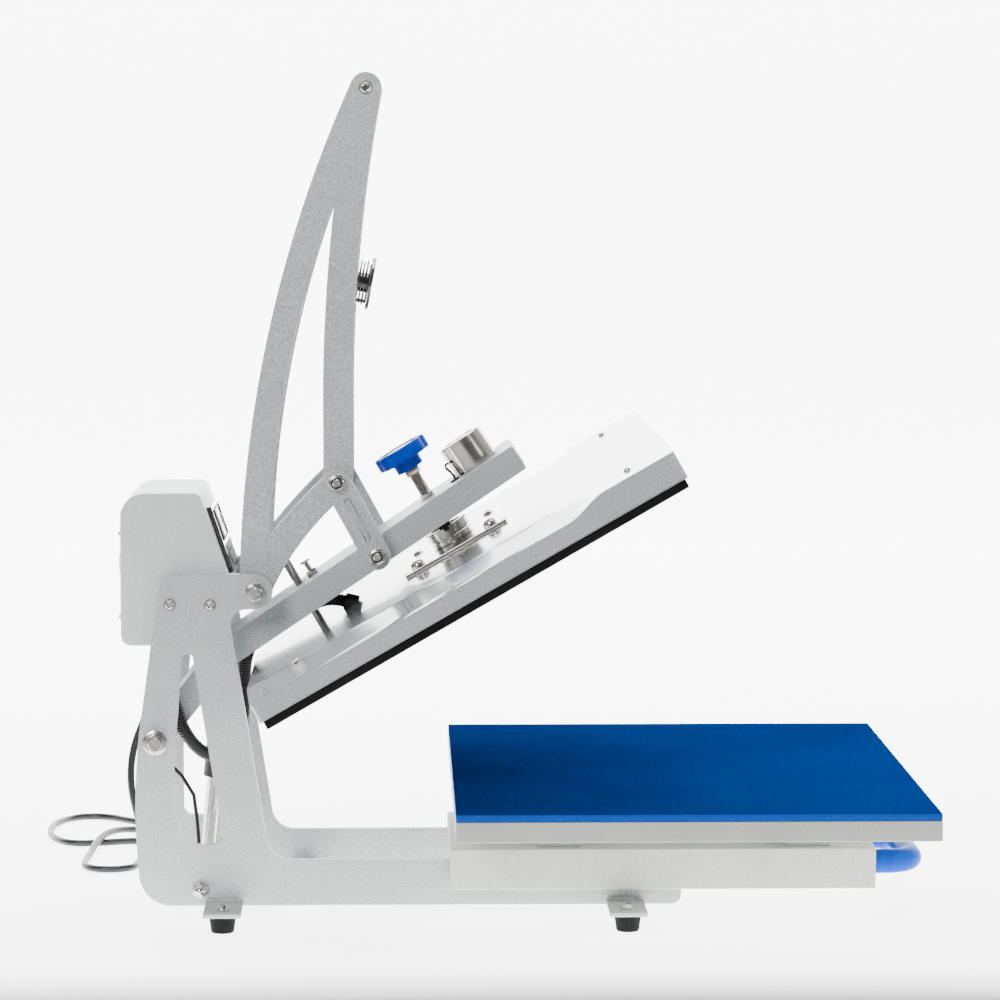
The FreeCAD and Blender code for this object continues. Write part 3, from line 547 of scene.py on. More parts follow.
def bar(size, at, width=0.4, segments=2):
    """A block from its lowest corner with its edges eased."""
    bm = bmesh.new()
    bmesh.ops.create_cube(bm, size=1)
    bmesh.ops.scale(bm, vec=size, verts=bm.verts)
    bmesh.ops.translate(bm, vec=[a + s / 2 for a, s in zip(at, size)], verts=bm.verts)
    bevel(bm, bm.edges[:], width, segments)
    return bm


def hex_prism(radius, low, high, ease=0.5, turn=0.0):
    """A hexagon across its corners from low to high along Z, corners eased as on a forged nut."""
    bm = bmesh.new()
    bmesh.ops.create_cone(bm, cap_ends=True, segments=6, radius1=radius, radius2=radius, depth=high - low,
                          matrix=Matrix.Translation((0, 0, (low + high) / 2)) @ Matrix.Rotation(turn, 4, "Z"))
    rims = [e for e in bm.edges if abs(e.verts[0].co.z - e.verts[1].co.z) < 1e-4]
    bevel(bm, rims, ease, 2)
    return bm


def thread(radius, low, high, pitch=1.5, depth=0.55, steps=20):
    """A threaded stretch: a V-shaped tooth wound up from low to high over a plain core."""
    core = lathe([(0, low), (radius - depth, low), (radius - depth, high), (0, high)], 24)
    turns = max(1, int((high - low) / pitch) - 1)
    bm = bmesh.new()
    tooth = [(radius - depth - 0.02, low), (radius, low + pitch * 0.45), (radius, low + pitch * 0.55),
             (radius - depth - 0.02, low + pitch)]
    verts = [bm.verts.new((r, 0, z)) for r, z in tooth]
    edges = [bm.edges.new(pair) for pair in zip(verts, verts[1:] + verts[:1])]
    bmesh.ops.contextual_create(bm, geom=edges)
    bmesh.ops.spin(bm, geom=bm.verts[:] + bm.edges[:] + bm.faces[:], cent=(0, 0, 0), axis=(0, 0, 1),
                   dvec=(0, 0, pitch / steps), angle=2 * math.pi * turns, steps=steps * turns,
                   use_merge=False, use_duplicate=False)
    return join_shapes(core, bm)


def stud_end(radius, low, high):
    """A bolt's end past its nut: thread with a chamfered tip."""
    tip = lathe([(0, high - 0.8), (radius - 0.1, high - 0.8), (radius - 0.9, high), (0, high)], 24)
    return join_shapes(thread(radius, low, high - 0.8, 1.25, 0.5), tip)


def washer(bore, radius, low, high):
    return ring_lathe([(bore, low), (radius - 0.3, low), (radius, low + 0.3), (radius, high - 0.3),
                       (radius - 0.3, high), (bore, high)])


def flange_nut(radius, low, high, bore, flange):
    """A hexagon on its own round flange."""
    foot = lathe([(0, low), (flange, low), (flange, low + 1.0), (radius * 0.9, low + 2.2), (0, low + 2.2)])
    return join_shapes(foot, hex_prism(radius, low + 1.4, high, 0.7), stud_end(bore, high - 0.5, high + 1.6))


def lock_nut(radius, low, high, bore):
    """A hexagon with the round collar that holds its locking ring, over a washer."""
    collar = ring_lathe([(bore * 1.02, high - 2), (radius * 0.82, high - 2), (radius * 0.78, high - 0.5),
                         (radius * 0.66, high), (bore * 1.02, high)])
    return join_shapes(washer(bore, radius * 0.97, low, low + 1.5),
                       hex_prism(radius, low + 1.5, high - 1.4, 0.6),
                       collar, stud_end(bore - 1.1, low + 1, high + 0.6))


def locking_rings(name, node, *spots):
    """The dark locking ring of each nut: a spot is (placement, the nut's sizes)."""
    shapes = []
    for place, nut in spots:
        bore, high = nut["bore"], nut["high"]
        ring = ring_lathe([(bore - 1.1, high - 1.6), (bore * 1.03, high - 1.6), (bore * 1.03, high - 0.7),
                           (bore - 1.1, high - 0.4)], 36)
        shapes.append(moved(ring, place))
    finish(join_shapes(*shapes), name, BLACK_PLASTIC, node, IN_PLACE)


def acorn_nut(radius, low, high):
    """A hexagon closed by a dome."""
    dome = [(0, high)]
    for i in range(1, 9):
        lean = math.radians(90 * i / 8)
        dome.append((radius * 0.8 * math.sin(lean), low + 4 + (high - low - 4) * math.cos(lean)))
    return join_shapes(hex_prism(radius, low, low + 4.2, 0.6), lathe([*dome, (0, low + 3.9)]))


def button_head(radius, low, high, socket):
    """A low domed screw head with a hexagon socket sunk in it."""
    rim = radius * 0.96
    dome = []
    for i in range(7):
        share = i / 6
        dome.append((rim - (rim - socket * 1.15) * share, low + (high - low) * math.sin(share * math.pi / 2)))
    bm = lathe([(0, low), (radius, low), (radius, low + 0.3), *dome], 36)
    for vert in verts_of(bmesh.ops.extrude_edge_only(bm, edges=open_edges(bm))["geom"]):
        angle = math.atan2(vert.co.y, vert.co.x)
        corner = (angle + math.pi / 6) % (math.pi / 3) - math.pi / 6
        reach = socket * math.cos(math.pi / 6) / math.cos(corner)
        vert.co.x, vert.co.y, vert.co.z = reach * math.cos(angle), reach * math.sin(angle), high - 0.2
    wall = bmesh.ops.extrude_edge_only(bm, edges=open_edges(bm))["geom"]
    bmesh.ops.translate(bm, vec=(0, 0, -(high - low) * 0.6), verts=verts_of(wall))
    bmesh.ops.contextual_create(bm, geom=open_edges(bm))
    return bm


def facing(side, x, z, out):
    """A millimetre frame on the side plates: Z points outwards on that side, from |Y| = out."""
    return Matrix.Translation((x * MM, side * out * MM, z * MM)) @ Matrix.Rotation(
        math.radians(-90 * side), 4, "X") @ Matrix.Scale(MM, 4)


def swept(route, name):
    """The smooth line that a route's control points draw, in metres."""
    curve = bpy.data.curves.new(name, "CURVE")
    curve.dimensions = "3D"
    curve.resolution_u = 10
    spline = curve.splines.new("NURBS")
    spline.points.add(len(route) - 1)
    for point, spot in zip(spline.points, route):
        point.co = (*(c * MM for c in spot), 1.0)
    spline.order_u = 3
    spline.use_endpoint_u = True
    return curve


def along_route(bm, route, name):
    """A shape made along X, bent onto the route's smooth line."""
    guide = in_scene(name + "_guide", swept(route, name))
    straight = in_scene(name + "_straight", mesh_from(bm, name))
    bend = straight.modifiers.new("bend", "CURVE")
    bend.object = guide
    bend.deform_axis = "POS_X"
    graph = bpy.context.evaluated_depsgraph_get()
    bent = bpy.data.meshes.new_from_object(straight.evaluated_get(graph))
    for thing in (guide, straight):
        bpy.data.objects.remove(thing)
    result = bmesh.new()
    result.from_mesh(bent)
    return result


def cable(points, radius, sides=12):
    """A round tube through the points; a loop when the last point is the first."""
    spots = [Vector(p) for p in points]
    closed = (spots[0] - spots[-1]).length < 1e-6
    if closed:
        spots.pop()
    bm, rings = bmesh.new(), []
    for i, spot in enumerate(spots):
        before = spots[i - 1] if closed or i else spot
        after = spots[(i + 1) % len(spots)] if closed or i + 1 < len(spots) else spot
        along = (after - before).normalized()
        side = along.cross((0, 1, 0) if abs(along.y) < 0.9 else (1, 0, 0)).normalized()
        lift = along.cross(side)
        rings.append([bm.verts.new(spot + radius * (side * math.cos(a) + lift * math.sin(a)))
                      for a in (2 * math.pi * k / sides for k in range(sides))])
    for first, second in zip(rings, rings[1:] + (rings[:1] if closed else [])):
        for k in range(sides):
            bm.faces.new((first[k], first[(k + 1) % sides], second[(k + 1) % sides], second[k]))
    if not closed:
        bm.faces.new(rings[0])
        bm.faces.new(rings[-1])
    bmesh.ops.recalc_face_normals(bm, faces=bm.faces)
    return bm


def route_length(route, name):
    """The length of the route's smooth line."""
    guide = bpy.data.objects.new(name + "_measure", swept(route, name))
    line = bpy.data.meshes.new_from_object(guide)
    spots = [[line.vertices[v].co for v in edge.vertices] for edge in line.edges]
    total = sum((start - end).length for start, end in spots)
    bpy.data.objects.remove(guide)
    return total


def swelling_tube(radius, sides, length, steps, radius_at):
    """A closed tube along X whose radius after each step is radius_at(step)."""
    bm = bmesh.new()
    turn = Matrix.Rotation(math.radians(90), 4, "Y")
    bmesh.ops.create_circle(bm, cap_ends=False, segments=sides, radius=radius, matrix=turn)
    edges = bm.edges[:]
    for i in range(1, steps + 1):
        grown = bmesh.ops.extrude_edge_only(bm, edges=edges)["geom"]
        edges = [e for e in grown if isinstance(e, bmesh.types.BMEdge) and e.is_boundary]
        for vert in verts_of(grown):
            spoke = Vector((0, vert.co.y, vert.co.z)).normalized() * radius_at(i)
            vert.co = (i * length / steps, spoke.y, spoke.z)
    bmesh.ops.holes_fill(bm, edges=open_edges(bm), sides=0)
    return bm


def ribbed_hose(radius, length, pitch, depth):
    """A corrugated tube along X: rings that swell and pinch once every pitch."""
    steps = int(length / pitch * 4)
    return swelling_tube(radius, 20, length, steps,
                         lambda i: radius - depth * (0.5 + 0.5 * math.cos(i * math.pi / 2)))


# ---- power cord --------------------------------------------------------------------------------

CORD_ROUTE = [
    (-325, 56, 222), (-325, 56, 192), (-334, 54, 163), (-346, 50, 134), (-349, 45, 104), (-343, 42, 74),
    (-333, 45, 46), (-321, 55, 22), (-309, 78, 7), (-300, 106, 3.5), (-293, 136, 3.5), (-289, 166, 3.5),
    (-293, 194, 3.5), (-306, 216, 3.5), (-326, 222, 3.5), (-344, 212, 3.5), (-352, 190, 3.5),
    (-352, 164, 3.5), (-366, 150, 3.5), (-386, 150, 3.5), (-400, 164, 3.5),
    (-402, 194, 3.5), (-400, 226, 3.5), (-397, 258, 8.5),
    (-391, 285, 12), (-382, 308, 12), (-366, 330, 9), (-340, 350, 3.5), (-309, 353, 3.5),
    (-284, 334, 3.5), (-280, 306, 3.5), (-301, 288, 3.5), (-332, 290, 3.5), (-364, 298, 3.5),
    (-398, 285, 3.5), (-425, 284, 3.5), (-443, 315, 3.5), (-450, 357, 3.5), (-447, 400, 3.5),
    (-428, 434, 3.5), (-397, 432, 3.5), (-372, 404, 3.5), (-343, 386, 3.5), (-308, 384, 3.5),
    (-272, 373, 3.5), (-243, 347, 3.5), (-216, 322, 3.5), (-180, 310, 3.5), (-142, 313, 3.5),
    (-104, 306, 3.5), (-68, 294, 3.5), (-30, 292, 3.5),
]
CORD_DIAMETER = 6.5


def power_plug():
    """A moulded plug lying on the floor: tapered ribbed neck, waisted body and three pins."""
    x, y, z = CORD_ROUTE[-1][0], CORD_ROUTE[-1][1], 5.5
    neck = [(0, 0), (3.9, 0), (4.1, 1.2)]
    for i in range(5):
        grow = 4.1 + i * 0.28
        neck += [(grow + 0.5, 2 + i * 2.8), (grow + 0.5, 3.4 + i * 2.8), (grow - 0.5, 3.9 + i * 2.8),
                 (grow - 0.5, 4.5 + i * 2.8)]
    neck += [(5.6, 16.5), (0, 16.5)]
    lying = Matrix.Translation((x, y, z)) @ Matrix.Rotation(math.radians(90), 4, "Y")
    body = bmesh.new()
    bmesh.ops.create_cube(body, size=1)
    bmesh.ops.scale(body, vec=(30, 26, 22), verts=body.verts)
    bmesh.ops.subdivide_edges(body, edges=body.edges[:], cuts=7, use_grid_fill=True)
    for vert in body.verts:
        along = vert.co.x / 15
        waist = 1 - 0.2 * math.exp(-((along + 0.15) / 0.38) ** 2) - 0.22 * max(0, -along - 0.45)
        vert.co.y *= waist
        vert.co.z *= 1 - 0.16 * max(0, -along - 0.3)
    soften(body, 3.0, 40, 3)
    bmesh.ops.translate(body, vec=(x + 31, y, 11), verts=body.verts)
    lowest = min(v.co.z for v in body.verts)
    bmesh.ops.translate(body, vec=(0, 0, -lowest), verts=body.verts)
    plug = finish(join_shapes(moved(lathe(neck, 28), lying), body), "plug_moulding", RUBBER,
                  "power_plug", LEVEL, True, 50)
    blades = [bar((19, 1.6, 6.4), (x + 46, y + dy, 9), 0.35) for dy in (-7, 5.4)]
    ground = moved(lathe([(0, 0), (2.4, 0), (2.4, 19.5), (1.9, 21.2), (0, 22)], 24),
                   Matrix.Translation((x + 46, y, 5.5)) @ Matrix.Rotation(math.radians(90), 4, "Y"))
    pins = finish(join_shapes(*blades, ground), "plug_blades", BRASS, "plug_pins", LEVEL, True)
    return plug, pins


def cord_relief():
    """The tapered, ringed sleeve that the cord leaves the box through."""
    x, y, z = CORD_ROUTE[0]
    profile = [(0, 18), (7, 18), (7, 14), (6.6, 13.4), (6.6, 9)]
    for i in range(5):
        top = 7.5 - i * 3.6
        wide = 6.2 - i * 0.4
        profile += [(wide, top), (wide, top - 1.9), (wide - 0.9, top - 2.3), (wide - 0.9, top - 3.2)]
    profile += [(3.9, -11.5), (0, -11.5)]
    return finish(moved(lathe(profile, 32), Matrix.Translation((x, y, z))), "cord_relief", RUBBER,
                  "cord_gland", LEVEL, True, 50)


def power_cord():
    plug, pins = power_plug()
    relief = cord_relief()
    curve = swept(CORD_ROUTE, "power_cord_line")
    curve.bevel_depth = CORD_DIAMETER / 2 * MM
    curve.bevel_resolution = 5
    curve.use_fill_caps = True
    curve.materials.append(CORD_SKIN)
    cord = in_scene("power_cord_line", curve)
    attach(cord, "base")
    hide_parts("power_cord")
    route_length(CORD_ROUTE, "power_cord")


power_cord()


# ---- base --------------------------------------------------------------------------------------

AXLE, EAR = pivot("beam_swing") / MM, pivot("handle_swing") / MM
TIE = pivot("strut_pivot") / MM
PLATE_FACE = 80
TOP_LINK = Vector((-161.5, 0, 381))
LINK_FACE, BOLT_FACE = 77, 77.4
EAR_NUT = {"radius": 8.5, "low": 0, "high": 10.2, "bore": 5.9}
LINK_NUT = {"radius": 7.8, "low": 0, "high": 8.0, "bore": 4.8}


def solids(node):
    """(lowest corner, highest corner) in millimetres of each separate solid in a node."""
    bm = bmesh.new()
    bm.from_mesh(frame["nodes"][node].data)
    bmesh.ops.remove_doubles(bm, verts=bm.verts, dist=2e-6)
    left = set(bm.verts)
    boxes = []
    while left:
        group, grow = set(), [left.pop()]
        while grow:
            vert = grow.pop()
            group.add(vert)
            for edge in vert.link_edges:
                other = edge.other_vert(vert)
                if other in left:
                    left.discard(other)
                    grow.append(other)
        boxes.append(tuple(Vector([pick(v.co[i] for v in group) for i in range(3)]) / MM
                           for pick in (min, max)))
    bm.free()
    return sorted(boxes, key=lambda b: tuple(round(c) for c in b[0]))


def rubber_feet():
    shapes = []
    for low, high in solids("rubber_feet"):
        middle = (low + high) / 2
        foot = lathe([(0, 0), (8.8, 0), (9.8, 0.9), (10.1, 2.2), (11.4, 12.2), (11.9, 13.2), (11.9, 14.6),
                      (11.4, 15), (0, 15)], 44)
        cup = ring_lathe([(3.2, 0.001), (5.2, 0.001), (5.2, 2.6), (3.2, 2.6)], 32)
        shapes.append(moved(join_shapes(foot, cup), Matrix.Translation((middle.x, middle.y, 0))))
    finish(join_shapes(*shapes), "rubber_feet_turned", RUBBER, "rubber_feet", LEVEL, True)
    bolts = []
    for low, high in solids("rubber_feet"):
        middle = (low + high) / 2
        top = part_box("foot_tabs")[1][2] / MM
        head = join_shapes(washer(3, 7, top, top + 1.2), button_head(5.5, top + 1.2, top + 4.4, 2.3))
        bolts.append(moved(head, Matrix.Translation((middle.x, middle.y, 0))))
    finish(join_shapes(*bolts), "foot_screws", ZINC, "side_nuts")


def weld_beads():
    """A rippled fillet of weld where each foot tab meets its rail, above and below the tab."""
    shapes = []
    for low, high in solids("foot_tabs"):
        side = 1 if low.y > 0 else -1
        for z, lift in ((high.z, 1), (low.z, -1)):
            bead = swelling_tube(2.0, 10, high.x - low.x - 4, 56, lambda i: (
                1.9 + 0.35 * abs(math.sin(i * 0.62)) + 0.3 * noise.noise((i * 0.3, side, z))))
            place = Matrix.Translation((low.x + 2, side * (PLATE_FACE + 0.3), z + lift * 0.3))
            shapes.append(moved(bead, place))
    finish(join_shapes(*shapes), "tab_welds", COAT, "foot_tabs", LEVEL, False, 60)


def side_nuts():
    shapes = []
    for side in (NEAR, FAR):
        shapes.append(moved(flange_nut(8.6, 0, 9.5, 5.9, 10.6), facing(side, AXLE.x, AXLE.z, PLATE_FACE)))
        shapes.append(moved(lock_nut(**EAR_NUT), facing(side, EAR.x, EAR.z, PLATE_FACE)))
        shapes.append(moved(acorn_nut(7.5, 0, 12.5), facing(side, TIE.x, TIE.z, PLATE_FACE)))
    finish(join_shapes(*shapes), "side_nuts_forged", ZINC, "side_nuts", IN_PLACE, True)
    locking_rings("ear_nut_rings", "side_nuts",
                  *[(facing(side, EAR.x, EAR.z, PLATE_FACE), EAR_NUT) for side in (NEAR, FAR)])


def plate_screws():
    """Button screws through the side plates, and the small ones of the box's rear cover."""
    shapes = []
    for low, high in solids("box_screws"):
        middle, extent = (low + high) / 2, high - low
        if extent.x < extent.y:
            turn = Matrix.Translation((high.x * MM, middle.y * MM, middle.z * MM)) @ Matrix.Rotation(
                math.radians(-90), 4, "Y") @ Matrix.Scale(MM, 4)
            shapes.append(moved(button_head(2.9, 0.05, 2.0, 1.1), turn))
        else:
            side = 1 if middle.y > 0 else -1
            shapes.append(moved(button_head(5.2, 0, 3.2, 2.1), facing(side, middle.x, middle.z, PLATE_FACE)))
    finish(join_shapes(*shapes), "button_screws", NICKEL, "box_screws", IN_PLACE, True)


def slides():
    """Rolled slide members: a lip along the top and bottom edges."""
    for node, name in (("fixed_slides", "outer_slide_members"), ("moving_slides", "inner_slide_members")):
        shapes = []
        for low, high in solids(node):
            long, wide, tall = high - low
            shapes.append(bar((long, wide, tall), low, 0.8))
            for z in (low.z + 3.2, high.z - 3.2 - 1.6):
                shapes.append(bar((long - 6, wide + 0.36, 1.6), (low.x + 3, low.y - 0.18, z), 0.5))
        finish(join_shapes(*shapes), name, ZINC_ROLLED, node, LEVEL, True)


def base():
    """The frame with everything bolted or welded to it."""
    for node in ("side_plate_near", "side_plate_far"):
        eased(node, COAT, 0.9, 3)
    eased("cross_members", COAT, 1.2)
    eased("foot_tabs", COAT, 0.8)
    for node in ("beam_axle", "handle_axle", "lower_tie_rod", "axle_spacers"):
        eased(node, ZINC, 0.7)
    rubber_feet()
    weld_beads()
    side_nuts()
    plate_screws()
    slides()


# ---- control box -------------------------------------------------------------------------------

BEZEL_TOP = 4.0
KEY_ROW, KEY_SPOTS = 20, (-18, 0, 18)
FACE_TOP, FACE_LOW = Vector((-276.9, 0, 365.2)), Vector((-252, 0, 292))
FACE_LEAN = math.atan2(FACE_TOP.z - FACE_LOW.z, FACE_LOW.x - FACE_TOP.x)
FACE_FRAME = LEVEL @ Matrix.Translation((FACE_TOP + FACE_LOW) / 2) @ Matrix.Rotation(FACE_LEAN, 4, "Y")


def digit(at, lit):
    """One seven-segment figure, upright across the face; lit names the segments that show."""
    across, down = 3.2, 4.4
    spots = {
        "top": (-down, 0, 0), "middle": (0, 0, 0), "bottom": (down, 0, 0),
        "left_high": (-down / 2, -across, 1), "left_low": (down / 2, -across, 1),
        "right_high": (-down / 2, across, 1), "right_low": (down / 2, across, 1),
    }
    shapes = []
    for name in lit:
        x, y, upright = spots[name]
        long, thin = (down - 0.9, 0.9) if upright else (0.9, 2 * across - 1.4)
        size = (long, thin, 0.12)
        shapes.append(bar(size, (at[0] + x - long / 2, at[1] + y - thin / 2, 0), 0.05, 1))
    return join_shapes(*shapes)


def control_panel():
    """Bezel, framed window with its figures, and three domed keys in raised rings."""
    eased("control_bezel", GLOSS_BLACK, 1.4, 3)
    top = BEZEL_TOP
    pane = moved(bar((25, 72, 1.0), (-24, -36, top - 0.55), 0.4), FACE_FRAME)
    finish(pane, "display_window", WINDOW, "control_bezel", IN_PLACE)
    strips = [bar((1.2, 75, 1.0), (x, -37.5, top - 0.2), 0.35) for x in (-25.7, 1.6)]
    strips += [bar((28.5, 1.2, 1.0), (-25.7, y, top - 0.2), 0.35) for y in (-37.6, 36.4)]
    finish(moved(join_shapes(*strips), FACE_FRAME), "window_frame", BLACK_PLASTIC, "control_bezel",
           IN_PLACE)
    ring = ("top", "bottom", "left_high", "left_low", "right_high", "right_low")
    field = moved(bar((22.5, 90, 0.5), (6.6, -45, top - 0.3), 0.15, 1), FACE_FRAME)
    finish(field, "key_field", BLACK_PLASTIC, "control_bezel", IN_PLACE)
    figures = [digit((-12, y), ring) for y in (-24, -12, 12, 24)]
    colon = [bar((1, 1, 0.12), (x, -0.5, 0), 0.05, 1) for x in (-14.4, -10.6)]
    shown = moved(join_shapes(*figures, *colon), FACE_FRAME @ Matrix.Translation((0, 0, top + 0.46)))
    finish(shown, "display_figures", RED_PLASTIC, "control_bezel", IN_PLACE)
    for y, node in zip(KEY_SPOTS, ("set_key", "down_key", "up_key")):
        dome = [(0, 0.5), (4.95, 0.5), (4.95, 5.0), (4.6, 5.6), (3.6, 5.95), (2.2, 5.75), (0, 5.6)]
        place = FACE_FRAME @ Matrix.Translation((KEY_ROW, y, 0))
        finish(moved(lathe(dome, 36), place), node + "_cap", GREY_PLASTIC, node, IN_PLACE, True)
    rings = [moved(ring_lathe([(5.5, top - 0.6), (7.2, top - 0.6), (7.0, top + 0.45), (5.7, top + 0.45)], 40),
                   FACE_FRAME @ Matrix.Translation((KEY_ROW, y, 0))) for y in KEY_SPOTS]
    finish(join_shapes(*rings), "key_rings", BLACK_PLASTIC, "control_bezel", IN_PLACE)


def rear_switch():
    eased("switch_frame", BLACK_PLASTIC, 0.5)
    low, high = (Vector(corner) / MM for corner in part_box("power_rocker"))
    long, wide, tall = high - low
    bm = bmesh.new()
    bmesh.ops.create_cube(bm, size=1)
    bmesh.ops.scale(bm, vec=(long, wide, tall), verts=bm.verts)
    bmesh.ops.translate(bm, vec=(low + high) / 2, verts=bm.verts)
    across = [e for e in bm.edges if abs(e.verts[0].co.y - e.verts[1].co.y) > 1]
    bmesh.ops.subdivide_edges(bm, edges=across, cuts=10)
    for vert in bm.verts:
        if vert.co.x < (low.x + high.x) / 2:
            share = abs(vert.co.y - (low.y + high.y) / 2) / (wide / 2)
            vert.co.x += 0.55 * (1 - share ** 1.6)
    soften(bm, 0.25, 35)
    finish(bm, "rocker_cap", RED_PLASTIC, "power_rocker", LEVEL, True)


def vents():
    """A row of pressed louvres low on the rear cover."""
    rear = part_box("control_box_rear_cover")[0][0] / MM
    shapes = []
    for i in range(7):
        z = 272 + i * 4.2
        bm = bmesh.new()
        bmesh.ops.create_uvsphere(bm, u_segments=20, v_segments=10, radius=1)
        bmesh.ops.scale(bm, vec=(0.9, 16, 1.2), verts=bm.verts)
        bmesh.ops.translate(bm, vec=(rear + 0.1, 18, z), verts=bm.verts)
        shapes.append(bm)
    finish(join_shapes(*shapes), "rear_louvres", COAT_FINE, "control_box_rear_cover")


def control_box():
    eased("control_box_shell", COAT_FINE, 2.0, 4)
    eased("control_box_rear_cover", COAT_FINE, 0.3)
    control_panel()
    rear_switch()
    vents()
    eased("conduit_low_gland", BLACK_PLASTIC, 0.8)


# ---- beam and links ----------------------------------------------------------------------------

def electromagnet():
    """A pot magnet: turned shell, potted ring, centre pole, and its two leads with their grommet."""
    place = Matrix.Translation((MAGNET_ALONG, 0, MAGNET_FOOT))
    shell = ring_lathe([(15.4, 0), (20.4, 0), (21, 0.6), (21, 27.2), (20.2, 28), (16.2, 28),
                        (15.4, 27.2)], 72)
    pole = lathe([(0, 3), (8.4, 3), (8.4, 27.3), (7.8, 28), (4.3, 28), (3.6, 26.6), (3.2, 22), (0, 22)], 56)
    floor = lathe([(0, 0), (15.7, 0), (15.7, 4), (0, 4)], 48)
    finish(moved(join_shapes(shell, pole, floor), place), "magnet_pot", MAGNET_STEEL, "electromagnet",
           BEAM_FRAME, True)
    potting = ring_lathe([(8.3, 22), (15.6, 22), (15.6, 27.3), (14.4, 27.55), (9.4, 27.55), (8.3, 27.3)], 56)
    finish(moved(potting, place), "magnet_potting", BLACK_PLASTIC, "electromagnet", BEAM_FRAME)
    leads = [cable([(93.5, y, 27), (90.5, y, 28), (89.3, y - 1, 25), (90.6, y - 2, 20), (91.4, y - 3, 16),
                    (90.2, y - 3, 11), (89.8, y - 3, 6)], 1.1) for y in (-10, -13.4)]
    grommet = ring_lathe([(0.6, 11.9), (4.6, 11.9), (4.2, 13.4), (2.6, 13.8), (0.6, 13.8)], 28)
    leads.append(moved(grommet, Matrix.Translation((90, -14.8, 0))))
    finish(join_shapes(*leads), "magnet_leads", BLACK_PLASTIC, "electromagnet", BEAM_FRAME)


def beam_tops():
    """The stop screw: a grey lock nut, a thin shank and a small flat head."""
    stop = join_shapes(hex_prism(5.6, 11.8, 16.8, 0.4), thread(2.4, 12, 24.6, 0.8, 0.3),
                       lathe([(0, 24.4), (4.4, 24.4), (4.7, 24.8), (4.7, 26.1), (4.2, 26.6), (0, 26.6)], 32))
    finish(moved(stop, Matrix.Translation((-60, 0, 0))), "stop_screw", NICKEL, "pressure_nut", BEAM_FRAME)


def pressure_nut():
    """The nut held under the beam's top, and the short collar of its flange that shows above."""
    nut = hex_prism(9, 17.5, 26.5, 0.7)
    finish(nut, "pressure_nut_forged", ZINC, "pressure_nut", PRESS_FRAME, True)
    collar = ring_lathe([(5.3, 31.5), (6.6, 31.5), (6.6, 36.6), (6.2, 37.1), (5.3, 37.1)], 36)
    flange = ring_lathe([(6.4, 31.9), (9.4, 31.9), (9.4, 33.0), (8.9, 33.4), (6.4, 33.4)], 40)
    finish(join_shapes(collar, flange), "screw_collar", NICKEL, "pressure_nut", PRESS_FRAME)


def beam():
    eased("beam", COAT, 1.0, 3)
    eased("strut_top_pin", ZINC, 0.5)
    electromagnet()
    beam_tops()
    pressure_nut()
    shapes = []
    for side in (NEAR, FAR):
        spacer = lathe([(0, 45.2), (8, 45.2), (8, 70.4), (7.6, 70.9), (0, 70.9)], 32)
        shank = lathe([(0, 60), (4.96, 60), (4.96, BOLT_FACE), (0, BOLT_FACE)], 28)
        outer = moved(lock_nut(**LINK_NUT), Matrix.Translation((0, 0, BOLT_FACE)))
        shapes.append(moved(join_shapes(spacer, shank, outer), facing(side, LINK.x / MM, LINK.z / MM, 0)))
    locking_rings("link_nut_rings", "link_bolts",
                  *[(facing(side, LINK.x / MM, LINK.z / MM, BOLT_FACE), LINK_NUT) for side in (NEAR, FAR)])
    finish(join_shapes(*shapes), "link_bolts_turned", ZINC, "link_bolts", IN_PLACE, True)


def links():
    """The two links, each with a long groove pressed between raised edges, and their top nuts."""
    eased("link_plates", COAT, 0.9, 3)
    nuts, rims = [], []
    bottom = LINK / MM
    run = TOP_LINK - bottom
    lean = math.atan2(run.z, run.x)
    half_long, half_wide = 17.6, 2.5
    loop = []
    for i in range(24):
        turn = math.radians(i * 15 + 7.5)
        end = half_long if math.cos(turn) > 0 else -half_long
        loop.append((end + half_wide * math.cos(turn), 0, half_wide * math.sin(turn)))
    for side in (NEAR, FAR):
        middle = bottom + run * 0.498 + Vector((0, side * LINK_FACE, 0))
        place = Matrix.Translation(middle) @ Matrix.Rotation(-lean, 4, "Y")
        rims.append(moved(cable([*loop, loop[0]], 1.0, 10), place))
        nuts.append(moved(lock_nut(**LINK_NUT), facing(side, TOP_LINK.x, TOP_LINK.z, LINK_FACE)))
    finish(join_shapes(*rims), "link_groove_edges", COVER_PAINT, "link_plates")
    locking_rings("link_top_rings", "link_top_nuts",
                  *[(facing(side, TOP_LINK.x, TOP_LINK.z, LINK_FACE), LINK_NUT) for side in (NEAR, FAR)])
    finish(join_shapes(*nuts), "link_top_nuts_forged", ZINC, "link_top_nuts", IN_PLACE, True)


# ---- handle ------------------------------------------------------------------------------------

def handle_grip():
    """A soft sleeve with rounded ribs between two plain collars."""
    low, high = (Vector(corner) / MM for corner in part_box("handle_grip"))
    half, radius = (high.y - low.y) / 2, (high.x - low.x) / 2
    profile = [(0, -half), (radius - 0.8, -half), (radius, -half + 0.8), (radius, -half + 7)]
    ribs = 22
    pitch = (2 * half - 14) / ribs
    for i in range(ribs):
        start = -half + 7 + i * pitch
        profile += [(radius - 1.1, start + pitch * 0.12), (radius - 1.1, start + pitch * 0.3),
                    (radius - 0.2, start + pitch * 0.5), (radius, start + pitch * 0.7),
                    (radius - 0.2, start + pitch * 0.9)]
    profile += [(radius, half - 7), (radius, half - 0.8), (radius - 0.8, half), (0, half)]
    middle = (low + high) / 2
    place = Matrix.Translation(middle) @ Matrix.Rotation(math.radians(-90), 4, "X")
    finish(moved(lathe(profile, 44), place), "grip_sleeve", RUBBER, "handle_grip", LEVEL, True, 50)


